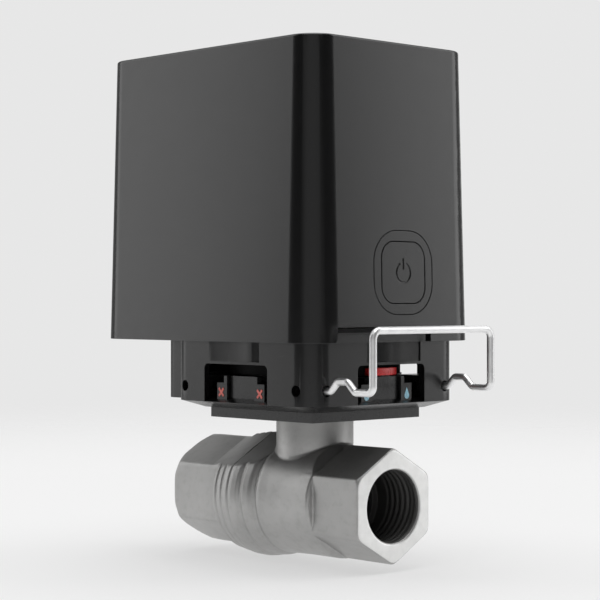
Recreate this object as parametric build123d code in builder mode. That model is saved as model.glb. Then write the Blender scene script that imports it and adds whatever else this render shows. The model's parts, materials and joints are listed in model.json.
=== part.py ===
from build123d import *
import math
import os

os.makedirs("parts", exist_ok=True)

# Motor-driven ball valve with a snap-on actuator. All sizes in millimetres.
# Row frame: origin at the centre of the inlet mouth, +X along the flow, +Z up the stem.
# The lengths below are counted from the point where the stem axis crosses the flow axis.

# ---------------- driving dimensions ----------------
STEM_X = 43.0            # inlet mouth to stem axis

# ball valve, G1/2 female ports
PORT_R = 9.3155          # minor radius of a G1/2 internal thread
PORT_DEPTH = 15.0
BORE_R = 7.5             # full bore
HEX_AF = 26.0
OUTLET_END = 29.1
OUTLET_HEX_START = 11.9
INLET_END = -43.0
INLET_HEX_END = -24.0
SPLIT_X = -16.5          # seam between the body and the inlet adapter
CHAMBER_R = 12.6
CHAMBER_END = 10.6
BALL_R = 12.0
SEAT_GAP = 0.04
THREAD_JOINT_R = 13.6
NECK_R = 10.24
NECK_TOP = 24.2
NECK_SQUARE = 14.0
NECK_SQUARE_TOP = 27.5
NECK_STUB_R = 6.9
NECK_STUB_TOP = 30.8
STEM_R = 4.5
STEM_BORE_R = 4.55
STEM_SQUARE = 6.4
STEM_TOP = 38.0

# square mount on the neck
PLATE_HALF = 19.6
PLATE_BOTTOM = 21.5
FLANGE_BOTTOM = 24.2
FLANGE_TOP = 26.0
FLANGE_HALF_LOW = 21.5
SKIRT_HALF = 27.0
SKIRT_R = 6.2
WALL = 1.8
WINDOW_HALF = 12.2
WINDOW_TOP = 35.95
WINDOW_SHIFT_Y = -1.2    # window centre on the -Y face, along X
WINDOW_SHIFT_X = 1.4     # window centre on the +X face, along Y
TAB_FRONT = 25.2
TAB_OUTER = 9.15
TAB_WIDTH = 2.7
TAB_TOP = 31.0
RIB_WIDTH = 1.15
RIB_TOP = 32.8
PANEL_FRONT = 24.2
PANEL_HALF = 4.95
POST_IN = 15.4
POST_TOP = 32.75
POST_OUT = 24.8
CLIP_Y = 21.4
CLIP_Z = 29.9
CLIP_HOLE_R = 1.12        # in the mount
SKIRT_HOLE_R = 1.45       # in the housing's skirt

# indicator drum
DRUM_BOTTOM = 33.1
DRUM_TOP = 36.2
DRUM_R = 22.6
BAND_R = 24.4

# base housing and cover
SKIRT_TOP = 41.8
FLOOR_TOP = 44.3
COVER_X0 = -55.1
COVER_X1 = 31.1
COVER_HALF_Y = 30.4
COVER_BOTTOM = 41.8
COVER_TOP = 117.9
COVER_INSET = 1.86       # draft, each side, over the cover's height
COVER_R = 9.0
COVER_WALL = 2.2
COVER_ROOF = 2.4
LIP_Y0 = -21.7
LIP_Y1 = 9.65
LIP_TOP = 43.85
NOTCH_Y1 = 11.6
NOTCH_TOP = 45.65

# button
BUTTON_Y = 1.86
BUTTON_Z = 59.35
RING_SIZE = 21.2
RING_CORNER = 8.2
KEY_SIZE = 15.5
KEY_CORNER = 4.2
KEY_TRAVEL = 0.8

# gear train
OUT_M, OUT_TEETH = 1.0, 40
IDLER_TEETH = 12
FIRST_M, IDLER_WHEEL_TEETH, PINION_TEETH = 0.8, 36, 12
IDLER_X, IDLER_Y = -24.0, 10.0
FIRST_CENTRES = FIRST_M * (IDLER_WHEEL_TEETH + PINION_TEETH) / 2
MOTOR_X = IDLER_X + FIRST_CENTRES * math.cos(math.radians(-138.0))
MOTOR_Y = IDLER_Y + FIRST_CENTRES * math.sin(math.radians(-138.0))
GEAR_Z0, GEAR_Z1 = 45.0, 50.0
WHEEL_Z0, WHEEL_Z1 = 50.7, 54.6
PLATE_Z0, PLATE_Z1 = 56.0, 58.5
AXLE_R = 1.5
SHAFT_R = 1.5

# retaining clip
WIRE_R = 0.95
BAIL_X = 42.8
BAIL_Z = 45.05


# ---------------- helper planes ----------------
def level(z, x=0.0, y=0.0):
    # horizontal plane, seen from above, centred on the stem axis
    return Plane(origin=(STEM_X + x, y, z), x_dir=(1, 0, 0), z_dir=(0, 0, 1))


def facing_x(x, y=0.0, z=0.0):
    # upright plane that faces +X: local x is +Y, local y is +Z
    return Plane(origin=(STEM_X + x, y, z), x_dir=(0, 1, 0), z_dir=(1, 0, 0))


def facing_y(y, x=0.0, z=0.0):
    # upright plane that faces -Y: local x is +X, local y is +Z
    return Plane(origin=(STEM_X + x, y, z), x_dir=(1, 0, 0), z_dir=(0, -1, 0))


def side(k, distance):
    # one of the four sides of the square mount, local x along the side and local y up
    # k = 0 is -Y, 1 is +X, 2 is +Y, 3 is -X
    a = math.radians(90 * k)
    n = (math.sin(a), -math.cos(a), 0)
    t = (math.cos(a), math.sin(a), 0)
    return Plane(origin=(STEM_X + n[0] * distance, n[1] * distance, 0), x_dir=t, z_dir=n)


SIDE_SHIFT = [WINDOW_SHIFT_Y, WINDOW_SHIFT_X, WINDOW_SHIFT_Y, WINDOW_SHIFT_X]

flow_axis = Axis((0, 0, 0), (1, 0, 0))
stem_axis = Axis((STEM_X, 0, 0), (0, 0, 1))
section = facing_y(0)


def upper_flat(m):
    # plane through the flow axis, local x along the flow and local y square to an upper flat of the hexagons
    n = Vector(0, -m * 0.5, math.cos(math.radians(30)))
    return Plane(origin=(STEM_X, 0, 0), x_dir=(1, 0, 0), z_dir=Vector(1, 0, 0).cross(n))


def involute_gear(plane, teeth, module, phase, backlash=0.10, pressure=25.0, addendum=0.92, dedendum=1.2):
    # a full involute gear outline, one tooth centred on the angle phase (degrees)
    rp = module * teeth / 2
    rb = rp * math.cos(math.radians(pressure))
    ra = rp + addendum * module
    rf = rp - dedendum * module
    inv = lambda r: math.tan(math.acos(min(1.0, rb / r))) - math.acos(min(1.0, rb / r))
    half = math.pi / (2 * teeth) - backlash / (2 * rp) / 2 + inv(rp)
    r0 = max(rb * 1.0005, rf)
    radii = [r0 + (ra - r0) * i / 4 for i in range(5)]
    polar = lambda r, a: (r * math.cos(a), r * math.sin(a))
    with BuildSketch(plane) as outline:
        with BuildLine():
            for i in range(teeth):
                c = math.radians(phase) + 2 * math.pi * i / teeth
                step = 2 * math.pi / teeth
                left = [polar(r, c - (half - inv(r))) for r in radii]
                right = [polar(r, c + (half - inv(r))) for r in reversed(radii)]
                root_a, root_b = c + (half - inv(r0)), c + step - (half - inv(r0))
                if rf < r0 - 1e-6:
                    Line(polar(rf, c - (half - inv(r0))), left[0])
                Spline(*left)
                ThreePointArc(left[-1], polar(ra, c), right[0])
                Spline(*right)
                if rf < r0 - 1e-6:
                    Line(right[-1], polar(rf, root_a))
                ThreePointArc(polar(rf, root_a), polar(rf, (root_a + root_b) / 2), polar(rf, root_b))
        make_face()
    return outline.sketch


# ================= ball valve =================

# Valve body: outlet hexagon, round barrel with its rings, neck with a square key and a thread stub.
with BuildPart() as valve_body:
    with BuildSketch(facing_x(OUTLET_HEX_START)):
        RegularPolygon(radius=HEX_AF / 2, side_count=6, major_radius=False, rotation=30)
    extrude(amount=OUTLET_END - OUTLET_HEX_START)
    # turned chamfers on both ends of the hexagon
    with BuildSketch(section):
        Polygon((9.0, 0), (9.0, 14.85), (13.5, 14.95), (28.5, 15.05), (OUTLET_END, 14.4), (OUTLET_END, 0))
    revolve(axis=flow_axis, mode=Mode.INTERSECT)
    # barrel
    with BuildSketch(section):
        Polygon(
            (SPLIT_X, 0), (SPLIT_X, 16.5), (-16.2, 16.8), (-15.0, 16.8), (-13.2, 16.55), (-12.7, 16.05), (-11.8, 15.9),
            (-11.2, 16.2), (-9.2, 15.95), (-8.1, 15.55), (-7.7, 15.0), (-7.1, 14.85), (-6.6, 15.15), (-5.6, 15.15),
            (-3.0, 15.0), (2.0, 14.85), (12.1, 14.85), (12.6, 14.6), (12.9, 14.1), (12.95, 13.0), (13.4, 12.9), (13.4, 0),
        )
    revolve(axis=flow_axis)
    # the upper flats of both hexagons run out over the rings and the barrel
    for m in (-1, 1):
        with BuildSketch(upper_flat(m)):
            Polygon((SPLIT_X - 1, 14.5), (SPLIT_X, 14.55), (-12.0, 14.6), (-8.0, 14.7), (-5.0, 14.9), (-2.0, 15.4), (-2.0, 20), (SPLIT_X - 1, 20))
            Polygon((10.0, 15.2), (12.7, 13.0), (14.0, 13.0), (14.0, 16.0), (10.0, 16.0))
        extrude(amount=12, both=True, mode=Mode.SUBTRACT)
    # neck, square key and stub
    with BuildSketch(level(0)):
        Circle(NECK_R)
    extrude(amount=NECK_TOP)
    with BuildSketch(level(NECK_TOP)):
        Rectangle(NECK_SQUARE, NECK_SQUARE)
    extrude(amount=NECK_SQUARE_TOP - NECK_TOP)
    with BuildSketch(level(NECK_SQUARE_TOP)):
        Circle(NECK_STUB_R)
    extrude(amount=NECK_STUB_TOP - NECK_SQUARE_TOP)
    # chamber, through bore and outlet port
    with BuildSketch(section):
        Polygon(
            (SPLIT_X - 1, 0), (SPLIT_X - 1, THREAD_JOINT_R), (-CHAMBER_END, THREAD_JOINT_R), (-CHAMBER_END, CHAMBER_R),
            (CHAMBER_END, CHAMBER_R), (CHAMBER_END, BORE_R), (OUTLET_END - PORT_DEPTH, BORE_R),
            (OUTLET_END - PORT_DEPTH, PORT_R), (OUTLET_END + 1, PORT_R), (OUTLET_END + 1, 0),
        )
    revolve(axis=flow_axis, mode=Mode.SUBTRACT)
    # pocket for the stem's collar and the stem bore
    with BuildSketch(level(6)):
        Circle(6.2)
    extrude(amount=14.2 - 6, mode=Mode.SUBTRACT)
    with BuildSketch(level(14)):
        Circle(STEM_BORE_R)
    extrude(amount=NECK_STUB_TOP - 14 + 1, mode=Mode.SUBTRACT)
valve_body.part.label = "valve_body"
export_step(valve_body.part, "parts/valve_body.step")

# Inlet adapter: hexagon, ringed collar and the spigot that screws into the body.
with BuildPart() as end_adapter:
    with BuildSketch(facing_x(INLET_END)):
        RegularPolygon(radius=HEX_AF / 2, side_count=6, major_radius=False, rotation=30)
    extrude(amount=INLET_HEX_END - INLET_END)
    with BuildSketch(section):
        Polygon((INLET_END, 0), (INLET_END, 13.3), (-41.3, 14.75), (-38.0, 14.95), (INLET_HEX_END, 14.95), (INLET_HEX_END, 0))
    revolve(axis=flow_axis, mode=Mode.INTERSECT)
    with BuildSketch(section):
        Polygon(
            (-25.4, 0), (-25.4, 12.9), (-24.2, 14.3), (-23.7, 15.5), (-23.3, 15.9), (-22.3, 16.0), (-22.0, 15.75), (-21.7, 15.75),
            (-21.4, 16.15), (-19.8, 16.4), (-19.5, 16.15), (-19.2, 16.15), (-18.9, 16.5), (-17.4, 16.75), (-16.9, 16.75),
            (SPLIT_X, 16.5), (SPLIT_X, THREAD_JOINT_R), (-CHAMBER_END, THREAD_JOINT_R), (-CHAMBER_END, 0),
        )
    revolve(axis=flow_axis)
    # the two upper flats of the hexagon run on over the collar
    for m in (-1, 1):
        with BuildSketch(upper_flat(m)):
            Polygon((-30, 13.0), (-27, 13.0), (-25, 13.4), (-22, 13.9), (-19, 14.3), (SPLIT_X, 14.55), (SPLIT_X + 1, 14.8), (SPLIT_X + 1, 20), (-30, 20))
        extrude(amount=12, both=True, mode=Mode.SUBTRACT)
    with BuildSketch(section):
        Polygon(
            (INLET_END - 1, 0), (INLET_END - 1, PORT_R), (INLET_END + PORT_DEPTH, PORT_R), (INLET_END + PORT_DEPTH, BORE_R),
            (-CHAMBER_END + 1, BORE_R), (-CHAMBER_END + 1, 0),
        )
    revolve(axis=flow_axis, mode=Mode.SUBTRACT)
    # groove for the seal
    with BuildSketch(section):
        Polygon((-15.9, 12.7), (-14.3, 12.7), (-14.3, 15.0), (-15.9, 15.0))
    revolve(axis=flow_axis, mode=Mode.SUBTRACT)
end_adapter.part.label = "end_adapter"
export_step(end_adapter.part, "parts/end_adapter.step")

# Seal ring between the adapter and the body.
with BuildPart() as adapter_seal:
    with BuildSketch(section):
        Polygon((-15.8, 12.75), (-14.4, 12.75), (-14.4, THREAD_JOINT_R), (-15.8, THREAD_JOINT_R))
    revolve(axis=flow_axis)
adapter_seal.part.label = "adapter_seal"
export_step(adapter_seal.part, "parts/adapter_seal.step")

# Ball with its through bore and the slot for the stem's tongue.
with BuildPart() as ball:
    with BuildSketch(section):
        Circle(BALL_R)
        Rectangle(2 * BALL_R + 2, BALL_R + 1, align=(Align.CENTER, Align.MAX), mode=Mode.SUBTRACT)
    revolve(axis=flow_axis)
    with BuildSketch(facing_x(-BALL_R - 1)):
        Circle(BORE_R)
    extrude(amount=2 * BALL_R + 2, mode=Mode.SUBTRACT)
    with BuildSketch(level(9.0)):
        Rectangle(30, 3.0)
    extrude(amount=4, mode=Mode.SUBTRACT)
ball.part.label = "ball"
export_step(ball.part, "parts/ball.step")

# Two seat rings, with a spherical face that follows the ball.
with BuildPart() as seat_outlet:
    with BuildSketch(section):
        Polygon((6.9, BORE_R), (6.9, CHAMBER_R), (CHAMBER_END, CHAMBER_R), (CHAMBER_END, BORE_R))
    revolve(axis=flow_axis)
    with BuildSketch(section):
        Circle(BALL_R + SEAT_GAP)
        Rectangle(2 * BALL_R + 2, BALL_R + 1, align=(Align.CENTER, Align.MAX), mode=Mode.SUBTRACT)
    revolve(axis=flow_axis, mode=Mode.SUBTRACT)
seat_outlet.part.label = "seat_outlet"
export_step(seat_outlet.part, "parts/seat_outlet.step")

with BuildPart() as seat_inlet:
    with BuildSketch(section):
        Polygon((-6.9, BORE_R), (-6.9, CHAMBER_R), (-CHAMBER_END, CHAMBER_R), (-CHAMBER_END, BORE_R))
    revolve(axis=flow_axis)
    with BuildSketch(section):
        Circle(BALL_R + SEAT_GAP)
        Rectangle(2 * BALL_R + 2, BALL_R + 1, align=(Align.CENTER, Align.MAX), mode=Mode.SUBTRACT)
    revolve(axis=flow_axis, mode=Mode.SUBTRACT)
seat_inlet.part.label = "seat_inlet"
export_step(seat_inlet.part, "parts/seat_inlet.step")

# Stem: tongue, collar, two ring grooves and a square end.
with BuildPart() as stem:
    with BuildSketch(section):
        Polygon(
            (0, 12.2), (6.0, 12.2), (6.0, 13.6), (STEM_R, 13.6), (STEM_R, 17.4), (3.4, 17.4), (3.4, 19.2), (STEM_R, 19.2),
            (STEM_R, 21.4), (3.4, 21.4), (3.4, 23.2), (STEM_R, 23.2), (STEM_R, STEM_TOP - 0.4), (STEM_R - 0.4, STEM_TOP), (0, STEM_TOP),
        )
    revolve(axis=stem_axis)
    with BuildSketch(level(9.2)):
        Rectangle(9.0, 2.8)
    extrude(amount=3.2)
    with BuildSketch(level(31.0)):
        Rectangle(12, 12)
        Rectangle(STEM_SQUARE, STEM_SQUARE, mode=Mode.SUBTRACT)
    extrude(amount=10, mode=Mode.SUBTRACT)
stem.part.label = "stem"
export_step(stem.part, "parts/stem.step")

# Two rings in the stem's grooves.
with BuildPart() as stem_orings:
    with BuildSketch(section):
        Polygon((3.42, 17.5), (4.53, 17.5), (4.53, 19.1), (3.42, 19.1))
        Polygon((3.42, 21.5), (4.53, 21.5), (4.53, 23.1), (3.42, 23.1))
    revolve(axis=stem_axis)
stem_orings.part.label = "stem_orings"
export_step(stem_orings.part, "parts/stem_orings.step")

# Thrust washer between the stem's collar and the neck.
with BuildPart() as thrust_washer:
    with BuildSketch(level(13.6)):
        Circle(6.0)
        Circle(STEM_BORE_R, mode=Mode.SUBTRACT)
    extrude(amount=0.6)
thrust_washer.part.label = "thrust_washer"
export_step(thrust_washer.part, "parts/thrust_washer.step")

# ================= square mount on the neck =================

with BuildPart() as valve_mount_adapter:
    with BuildSketch(level(PLATE_BOTTOM)):
        RectangleRounded(2 * PLATE_HALF, 2 * PLATE_HALF, 0.3)
    extrude(amount=FLANGE_BOTTOM - PLATE_BOTTOM)
    with BuildSketch(level(FLANGE_BOTTOM)):
        RectangleRounded(2 * FLANGE_HALF_LOW, 2 * FLANGE_HALF_LOW, 3.0)
    with BuildSketch(level(FLANGE_TOP)):
        RectangleRounded(2 * SKIRT_HALF, 2 * SKIRT_HALF, SKIRT_R)
    loft(ruled=True)
    # web over the neck's shoulder, and the round wall around the nut
    with BuildSketch(level(FLANGE_TOP)):
        Circle(19.8)
    extrude(amount=32.4 - FLANGE_TOP)
    # four corner posts that the clip's legs pass through
    with BuildSketch(level(FLANGE_TOP)):
        RectangleRounded(2 * POST_OUT, 2 * POST_OUT, 4.2)
        Rectangle(2 * POST_IN, 60, mode=Mode.SUBTRACT)
        Rectangle(60, 2 * POST_IN, mode=Mode.SUBTRACT)
    extrude(amount=POST_TOP - FLANGE_TOP)
    # each side: sloped sill, centre panel, and two icon tabs with a taller rib on the inside
    for k in range(4):
        s = SIDE_SHIFT[k]
        with BuildSketch(side(k, PANEL_FRONT - 1.5)):
            with Locations((s, (FLANGE_TOP + RIB_TOP) / 2)):
                Rectangle(2 * PANEL_HALF, RIB_TOP - FLANGE_TOP)
        extrude(amount=1.5)
        with BuildSketch(side(k, TAB_FRONT - 1.6)):
            for m in (-1, 1):
                with Locations((s + m * (TAB_OUTER - TAB_WIDTH / 2), (FLANGE_TOP - 0.4 + TAB_TOP) / 2)):
                    Rectangle(TAB_WIDTH, TAB_TOP - FLANGE_TOP + 0.4)
                with Locations((s + m * (TAB_OUTER - TAB_WIDTH - RIB_WIDTH / 2), (FLANGE_TOP - 0.4 + RIB_TOP) / 2)):
                    Rectangle(RIB_WIDTH, RIB_TOP - FLANGE_TOP + 0.4)
        extrude(amount=1.6)
        n, t = side(k, 0).z_dir, side(k, 0).x_dir
        with BuildSketch(Plane(origin=side(k, 0).origin + t * (s + WINDOW_HALF - 0.1), x_dir=n, z_dir=-t)):
            Polygon((22.4, 25.6), (SKIRT_HALF - 0.05, 25.95), (SKIRT_HALF - 0.05, 26.05), (24.2, 27.05), (22.4, 27.05))
        extrude(amount=2 * WINDOW_HALF - 0.2)
    # pocket for the nut, square hole on the key, round hole on the neck
    with BuildSketch(level(NECK_SQUARE_TOP)):
        Circle(17.4)
    extrude(amount=10, mode=Mode.SUBTRACT)
    with BuildSketch(level(NECK_TOP - 0.5)):
        Rectangle(NECK_SQUARE + 0.1, NECK_SQUARE + 0.1)
    extrude(amount=5, mode=Mode.SUBTRACT)
    with BuildSketch(level(PLATE_BOTTOM - 1)):
        Circle(NECK_R + 0.05)
    extrude(amount=NECK_TOP - PLATE_BOTTOM + 1, mode=Mode.SUBTRACT)
    # channels for the clip, the same on all four sides
    for k in range(4):
        with BuildSketch(side(k, 0)):
            with Locations((CLIP_Y, CLIP_Z), (-CLIP_Y, CLIP_Z)):
                Circle(CLIP_HOLE_R)
        extrude(amount=30, mode=Mode.SUBTRACT)
valve_mount_adapter.part.label = "valve_mount_adapter"
export_step(valve_mount_adapter.part, "parts/valve_mount_adapter.step")

# Nut that clamps the mount on the neck's shoulder.
with BuildPart() as mount_nut:
    with BuildSketch(level(NECK_SQUARE_TOP)):
        RegularPolygon(radius=9.5, side_count=6, major_radius=False)
        Circle(NECK_STUB_R, mode=Mode.SUBTRACT)
    extrude(amount=3.2)
    with BuildSketch(section):
        Polygon((0, 27.0), (11.2, 27.0), (11.2, 30.1), (10.2, 30.7), (0, 30.7))
    revolve(axis=stem_axis, mode=Mode.INTERSECT)
mount_nut.part.label = "mount_nut"
export_step(mount_nut.part, "parts/mount_nut.step")

# Red crosses: two on the -Y side and two on the +Y side.
with BuildPart() as closed_marks:
    for k in (0, 2):
        with BuildSketch(side(k, TAB_FRONT)):
            for m in (-1, 1):
                with Locations(Location((SIDE_SHIFT[k] + m * 7.45, 28.55), 48), Location((SIDE_SHIFT[k] + m * 7.45, 28.55), -48)):
                    Rectangle(2.75, 0.62)
        extrude(amount=0.12)
closed_marks.part.label = "closed_marks"
export_step(closed_marks.part, "parts/closed_marks.step")

# Blue drops: two on the +X side and two on the -X side.
with BuildPart() as open_marks:
    for k in (1, 3):
        with BuildSketch(side(k, TAB_FRONT)):
            for m in (-1, 1):
                with Locations((SIDE_SHIFT[k] + m * 7.35, 27.75)):
                    Circle(0.85)
                    Polygon((-0.805, 0.27), (-0.45, 1.05), (0, 2.15), (0.45, 1.05), (0.805, 0.27))
        extrude(amount=0.12)
open_marks.part.label = "open_marks"
export_step(open_marks.part, "parts/open_marks.step")

# ================= indicator drum and drive coupling =================

with BuildPart() as indicator_drum:
    with BuildSketch(level(DRUM_BOTTOM)):
        Circle(DRUM_R)
        Circle(17.0, mode=Mode.SUBTRACT)
    extrude(amount=DRUM_TOP - DRUM_BOTTOM)
    with BuildSketch(level(35.0)):
        Circle(18.0)
    extrude(amount=DRUM_TOP - 35.0)
    with BuildSketch(level(DRUM_BOTTOM)):
        Circle(7.0)
    extrude(amount=DRUM_TOP - DRUM_BOTTOM)
    with BuildSketch(level(DRUM_BOTTOM - 1)):
        Rectangle(STEM_SQUARE, STEM_SQUARE)
    extrude(amount=6, mode=Mode.SUBTRACT)
    with BuildSketch(level(34.0)):
        with PolarLocations(12.0, 6):
            Circle(2.4)
    extrude(amount=4, mode=Mode.SUBTRACT)
indicator_drum.part.label = "indicator_drum"
export_step(indicator_drum.part, "parts/indicator_drum.step")


def ring_sector(z, r0, r1, a0, a1):
    # ring sector, angles in degrees from +X
    with BuildSketch(level(z)) as out:
        with BuildLine():
            p = lambda r, a: (r * math.cos(math.radians(a)), r * math.sin(math.radians(a)))
            m = (a0 + a1) / 2
            Line(p(r0, a0), p(r1, a0))
            ThreePointArc(p(r1, a0), p(r1, m), p(r1, a1))
            Line(p(r1, a1), p(r0, a1))
            ThreePointArc(p(r0, a1), p(r0, m), p(r0, a0))
        make_face()
    return out.sketch


# Two red bars, between the drops when the valve is open and between the crosses when it is closed.
band_faces = [ring_sector(DRUM_BOTTOM, DRUM_R, BAND_R, -9.5, 16.5), ring_sector(DRUM_BOTTOM, DRUM_R, BAND_R, 170.5, 196.5)]
with BuildPart() as indicator_bands:
    extrude(to_extrude=band_faces[0], amount=2.0)
    extrude(to_extrude=band_faces[1], amount=2.0)
indicator_bands.part.label = "indicator_bands"
export_step(indicator_bands.part, "parts/indicator_bands.step")

# Coupling from the stem's square to the output gear.
with BuildPart() as drive_coupling:
    with BuildSketch(section):
        Polygon(
            (0, DRUM_TOP), (9.5, DRUM_TOP), (9.5, 37.4), (8.0, 37.4), (8.0, 39.6), (7.0, 39.6), (7.0, 41.2), (8.0, 41.2),
            (8.0, 44.8), (5.6, 44.8), (5.6, 51.8), (0, 51.8),
        )
    revolve(axis=stem_axis)
    with BuildSketch(level(44.8)):
        Rectangle(20, 20)
        Rectangle(8.0, 8.0, mode=Mode.SUBTRACT)
    extrude(amount=8, mode=Mode.SUBTRACT)
    with BuildSketch(level(DRUM_TOP - 1)):
        Rectangle(STEM_SQUARE, STEM_SQUARE)
    extrude(amount=STEM_TOP - DRUM_TOP + 1.4, mode=Mode.SUBTRACT)
drive_coupling.part.label = "drive_coupling"
export_step(drive_coupling.part, "parts/drive_coupling.step")

# Seal ring in the coupling's groove.
with BuildPart() as drive_seal:
    with BuildSketch(section):
        Polygon((7.02, 39.7), (8.3, 39.7), (8.3, 41.1), (7.02, 41.1))
    revolve(axis=stem_axis)
drive_seal.part.label = "drive_seal"
export_step(drive_seal.part, "parts/drive_seal.step")

# Plain bush in the housing floor.
with BuildPart() as drive_bushing:
    with BuildSketch(section):
        Polygon((8.34, 37.9), (10.5, 37.9), (10.5, 44.3), (11.8, 44.3), (11.8, 44.8), (8.05, 44.8), (8.05, 41.6), (8.34, 41.6))
    revolve(axis=stem_axis)
drive_bushing.part.label = "drive_bushing"
export_step(drive_bushing.part, "parts/drive_bushing.step")

# ================= base housing =================

FLOOR_CX = (COVER_X0 + COVER_X1) / 2
FLOOR_LX = COVER_X1 - COVER_X0 - 2 * COVER_WALL - 0.3
FLOOR_LY = 2 * COVER_HALF_Y - 2 * COVER_WALL - 0.3

with BuildPart() as base_housing:
    # floor that closes the cover
    with BuildSketch(level(SKIRT_TOP - 0.01)):
        with Locations((FLOOR_CX, 0)):
            RectangleRounded(FLOOR_LX, FLOOR_LY, COVER_R - COVER_WALL - 0.15)
    extrude(amount=FLOOR_TOP - SKIRT_TOP + 0.01)
    # skirt
    with BuildSketch(level(FLANGE_TOP)):
        RectangleRounded(2 * SKIRT_HALF, 2 * SKIRT_HALF, SKIRT_R)
    extrude(amount=SKIRT_TOP - FLANGE_TOP)
    # rear boss beside the skirt
    with BuildSketch(level(FLANGE_TOP)):
        with Locations((-26.0, 0)):
            RectangleRounded(25.0, 40.0, 4.0)
    extrude(amount=SKIRT_TOP - FLANGE_TOP)
    # locking lip, flush with the cover's front face
    with BuildSketch(level(SKIRT_TOP)):
        with Locations(((28.0 + 31.0) / 2, (LIP_Y0 + LIP_Y1) / 2)):
            Rectangle(31.0 - 28.0, LIP_Y1 - LIP_Y0)
    extrude(amount=LIP_TOP - SKIRT_TOP)
    # hollow of the skirt: wide below, narrower above
    with BuildSketch(level(FLANGE_TOP - 1)):
        RectangleRounded(2 * (SKIRT_HALF - WALL), 2 * (SKIRT_HALF - WALL), SKIRT_R - WALL)
    extrude(amount=37.0 - FLANGE_TOP + 1, mode=Mode.SUBTRACT)
    with BuildSketch(level(37.0)):
        RectangleRounded(40.0, 40.0, 4.0)
        Circle(13.2, mode=Mode.SUBTRACT)
    extrude(amount=42.0 - 37.0, mode=Mode.SUBTRACT)
    with BuildSketch(level(36.0)):
        Circle(10.5)
    extrude(amount=10, mode=Mode.SUBTRACT)
    # hollow of the rear boss, open to the cover's inside
    with BuildSketch(level(28.0)):
        with Locations((-32.5, 0)):
            RectangleRounded(8.4, 35.0, 2.4)
    extrude(amount=20, mode=Mode.SUBTRACT)
    # windows with rounded upper corners, open at the bottom
    # (on the rear side the boss closes the window, which stays as a pocket)
    for k in range(4):
        with BuildSketch(side(k, SKIRT_HALF - WALL - 1.0)):
            with Locations((SIDE_SHIFT[k], 20.0)):
                RectangleRounded(2 * WINDOW_HALF, 2 * (WINDOW_TOP - 20.0), 1.3)
        extrude(amount=WALL + (1.1 if k == 3 else 2.0), mode=Mode.SUBTRACT)
    # hollow upright panel above each open window, with a groove at the end next to the front corner
    for k in (0, 1, 2):
        w = side(k, 0)
        if k == 1:
            panel = [(-12.1, -0.2), (-12.1, 0.35), (-9.0, 0.46), (-6.0, 0.55), (-2.0, 0.6), (2.2, 0.6), (3.6, 1.3), (7.3, 1.3), (7.6, 1.0), (7.6, -0.2)]
        else:
            panel = [(-11.6, -0.2), (-11.4, 0.0), (-10.6, 0.08), (-8.0, 0.2), (-4.5, 0.33), (-1.0, 0.4), (2.4, 0.4), (4.7, 0.34), (5.4, 0.5), (6.2, 1.1), (6.9, 1.3), (7.6, 1.3), (7.95, 1.0), (7.95, -0.2)]
        flip = -1 if k == 1 else 1
        outline = [w.origin + w.x_dir * (flip * a) + w.z_dir * (SKIRT_HALF - d) for a, d in panel]
        with BuildSketch(level(WINDOW_TOP + 0.7)):
            Polygon(*[(p.X - STEM_X, p.Y) for p in (outline[::-1] if k == 1 else outline)])
        extrude(amount=42.5 - WINDOW_TOP - 0.7, mode=Mode.SUBTRACT)
    # clip holes
    for k in (0, 1, 2):
        with BuildSketch(side(k, SKIRT_HALF - WALL - 1.0)):
            with Locations((CLIP_Y, CLIP_Z), (-CLIP_Y, CLIP_Z)):
                Circle(SKIRT_HOLE_R)
        extrude(amount=WALL + 2.0, mode=Mode.SUBTRACT)
    # stand-offs for the gear plate
    with BuildSketch(level(FLOOR_TOP - 0.5)):
        with Locations((17.0, 17.8), (17.0, -17.8), (-17.0, -20.0), (-47.0, 9.0)):
            Circle(2.5)
    extrude(amount=PLATE_Z0 - FLOOR_TOP + 0.5)
    with BuildSketch(level(47.0)):
        with Locations((17.0, 17.8), (17.0, -17.8), (-17.0, -20.0), (-47.0, 9.0)):
            Circle(0.95)
    extrude(amount=10, mode=Mode.SUBTRACT)
    # blind seat of the idler axle
    with BuildSketch(level(43.0, IDLER_X, IDLER_Y)):
        Circle(AXLE_R)
    extrude(amount=5, mode=Mode.SUBTRACT)
    # guides of the main board
    with BuildSketch(level(FLOOR_TOP - 0.5)):
        for m in (-1, 1):
            with Locations((22.4, m * 24.3)):
                Rectangle(4.6, 3.4)
    extrude(amount=16.0)
    with BuildSketch(level(FLOOR_TOP + 1.5)):
        with Locations((21.85, 0)):
            Rectangle(1.7, 48.4)
    extrude(amount=20, mode=Mode.SUBTRACT)
    # counterbored holes for the cover screws
    with BuildSketch(level(SKIRT_TOP - 1)):
        with Locations((-48.0, 21.5), (-48.0, -21.5)):
            Circle(1.7)
    extrude(amount=5, mode=Mode.SUBTRACT)
    with BuildSketch(level(SKIRT_TOP - 1)):
        with Locations((-48.0, 21.5), (-48.0, -21.5)):
            Circle(3.1)
    extrude(amount=1.9, mode=Mode.SUBTRACT)
base_housing.part.label = "base_housing"
export_step(base_housing.part, "parts/base_housing.step")

# ================= cover =================

COVER_LX = COVER_X1 - COVER_X0
COVER_LY = 2 * COVER_HALF_Y
TILT = math.degrees(math.atan2(COVER_INSET, COVER_TOP - COVER_BOTTOM))
FACE_X = COVER_X1 - COVER_INSET * (BUTTON_Z - COVER_BOTTOM) / (COVER_TOP - COVER_BOTTOM)


def button_plane(depth):
    # plane on the cover's front face at the button, moved inwards by depth
    c, s = math.cos(math.radians(TILT)), math.sin(math.radians(TILT))
    return Plane(origin=(STEM_X + FACE_X - depth * c, BUTTON_Y, BUTTON_Z - depth * s), x_dir=(0, 1, 0), z_dir=(c, 0, s))


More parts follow.
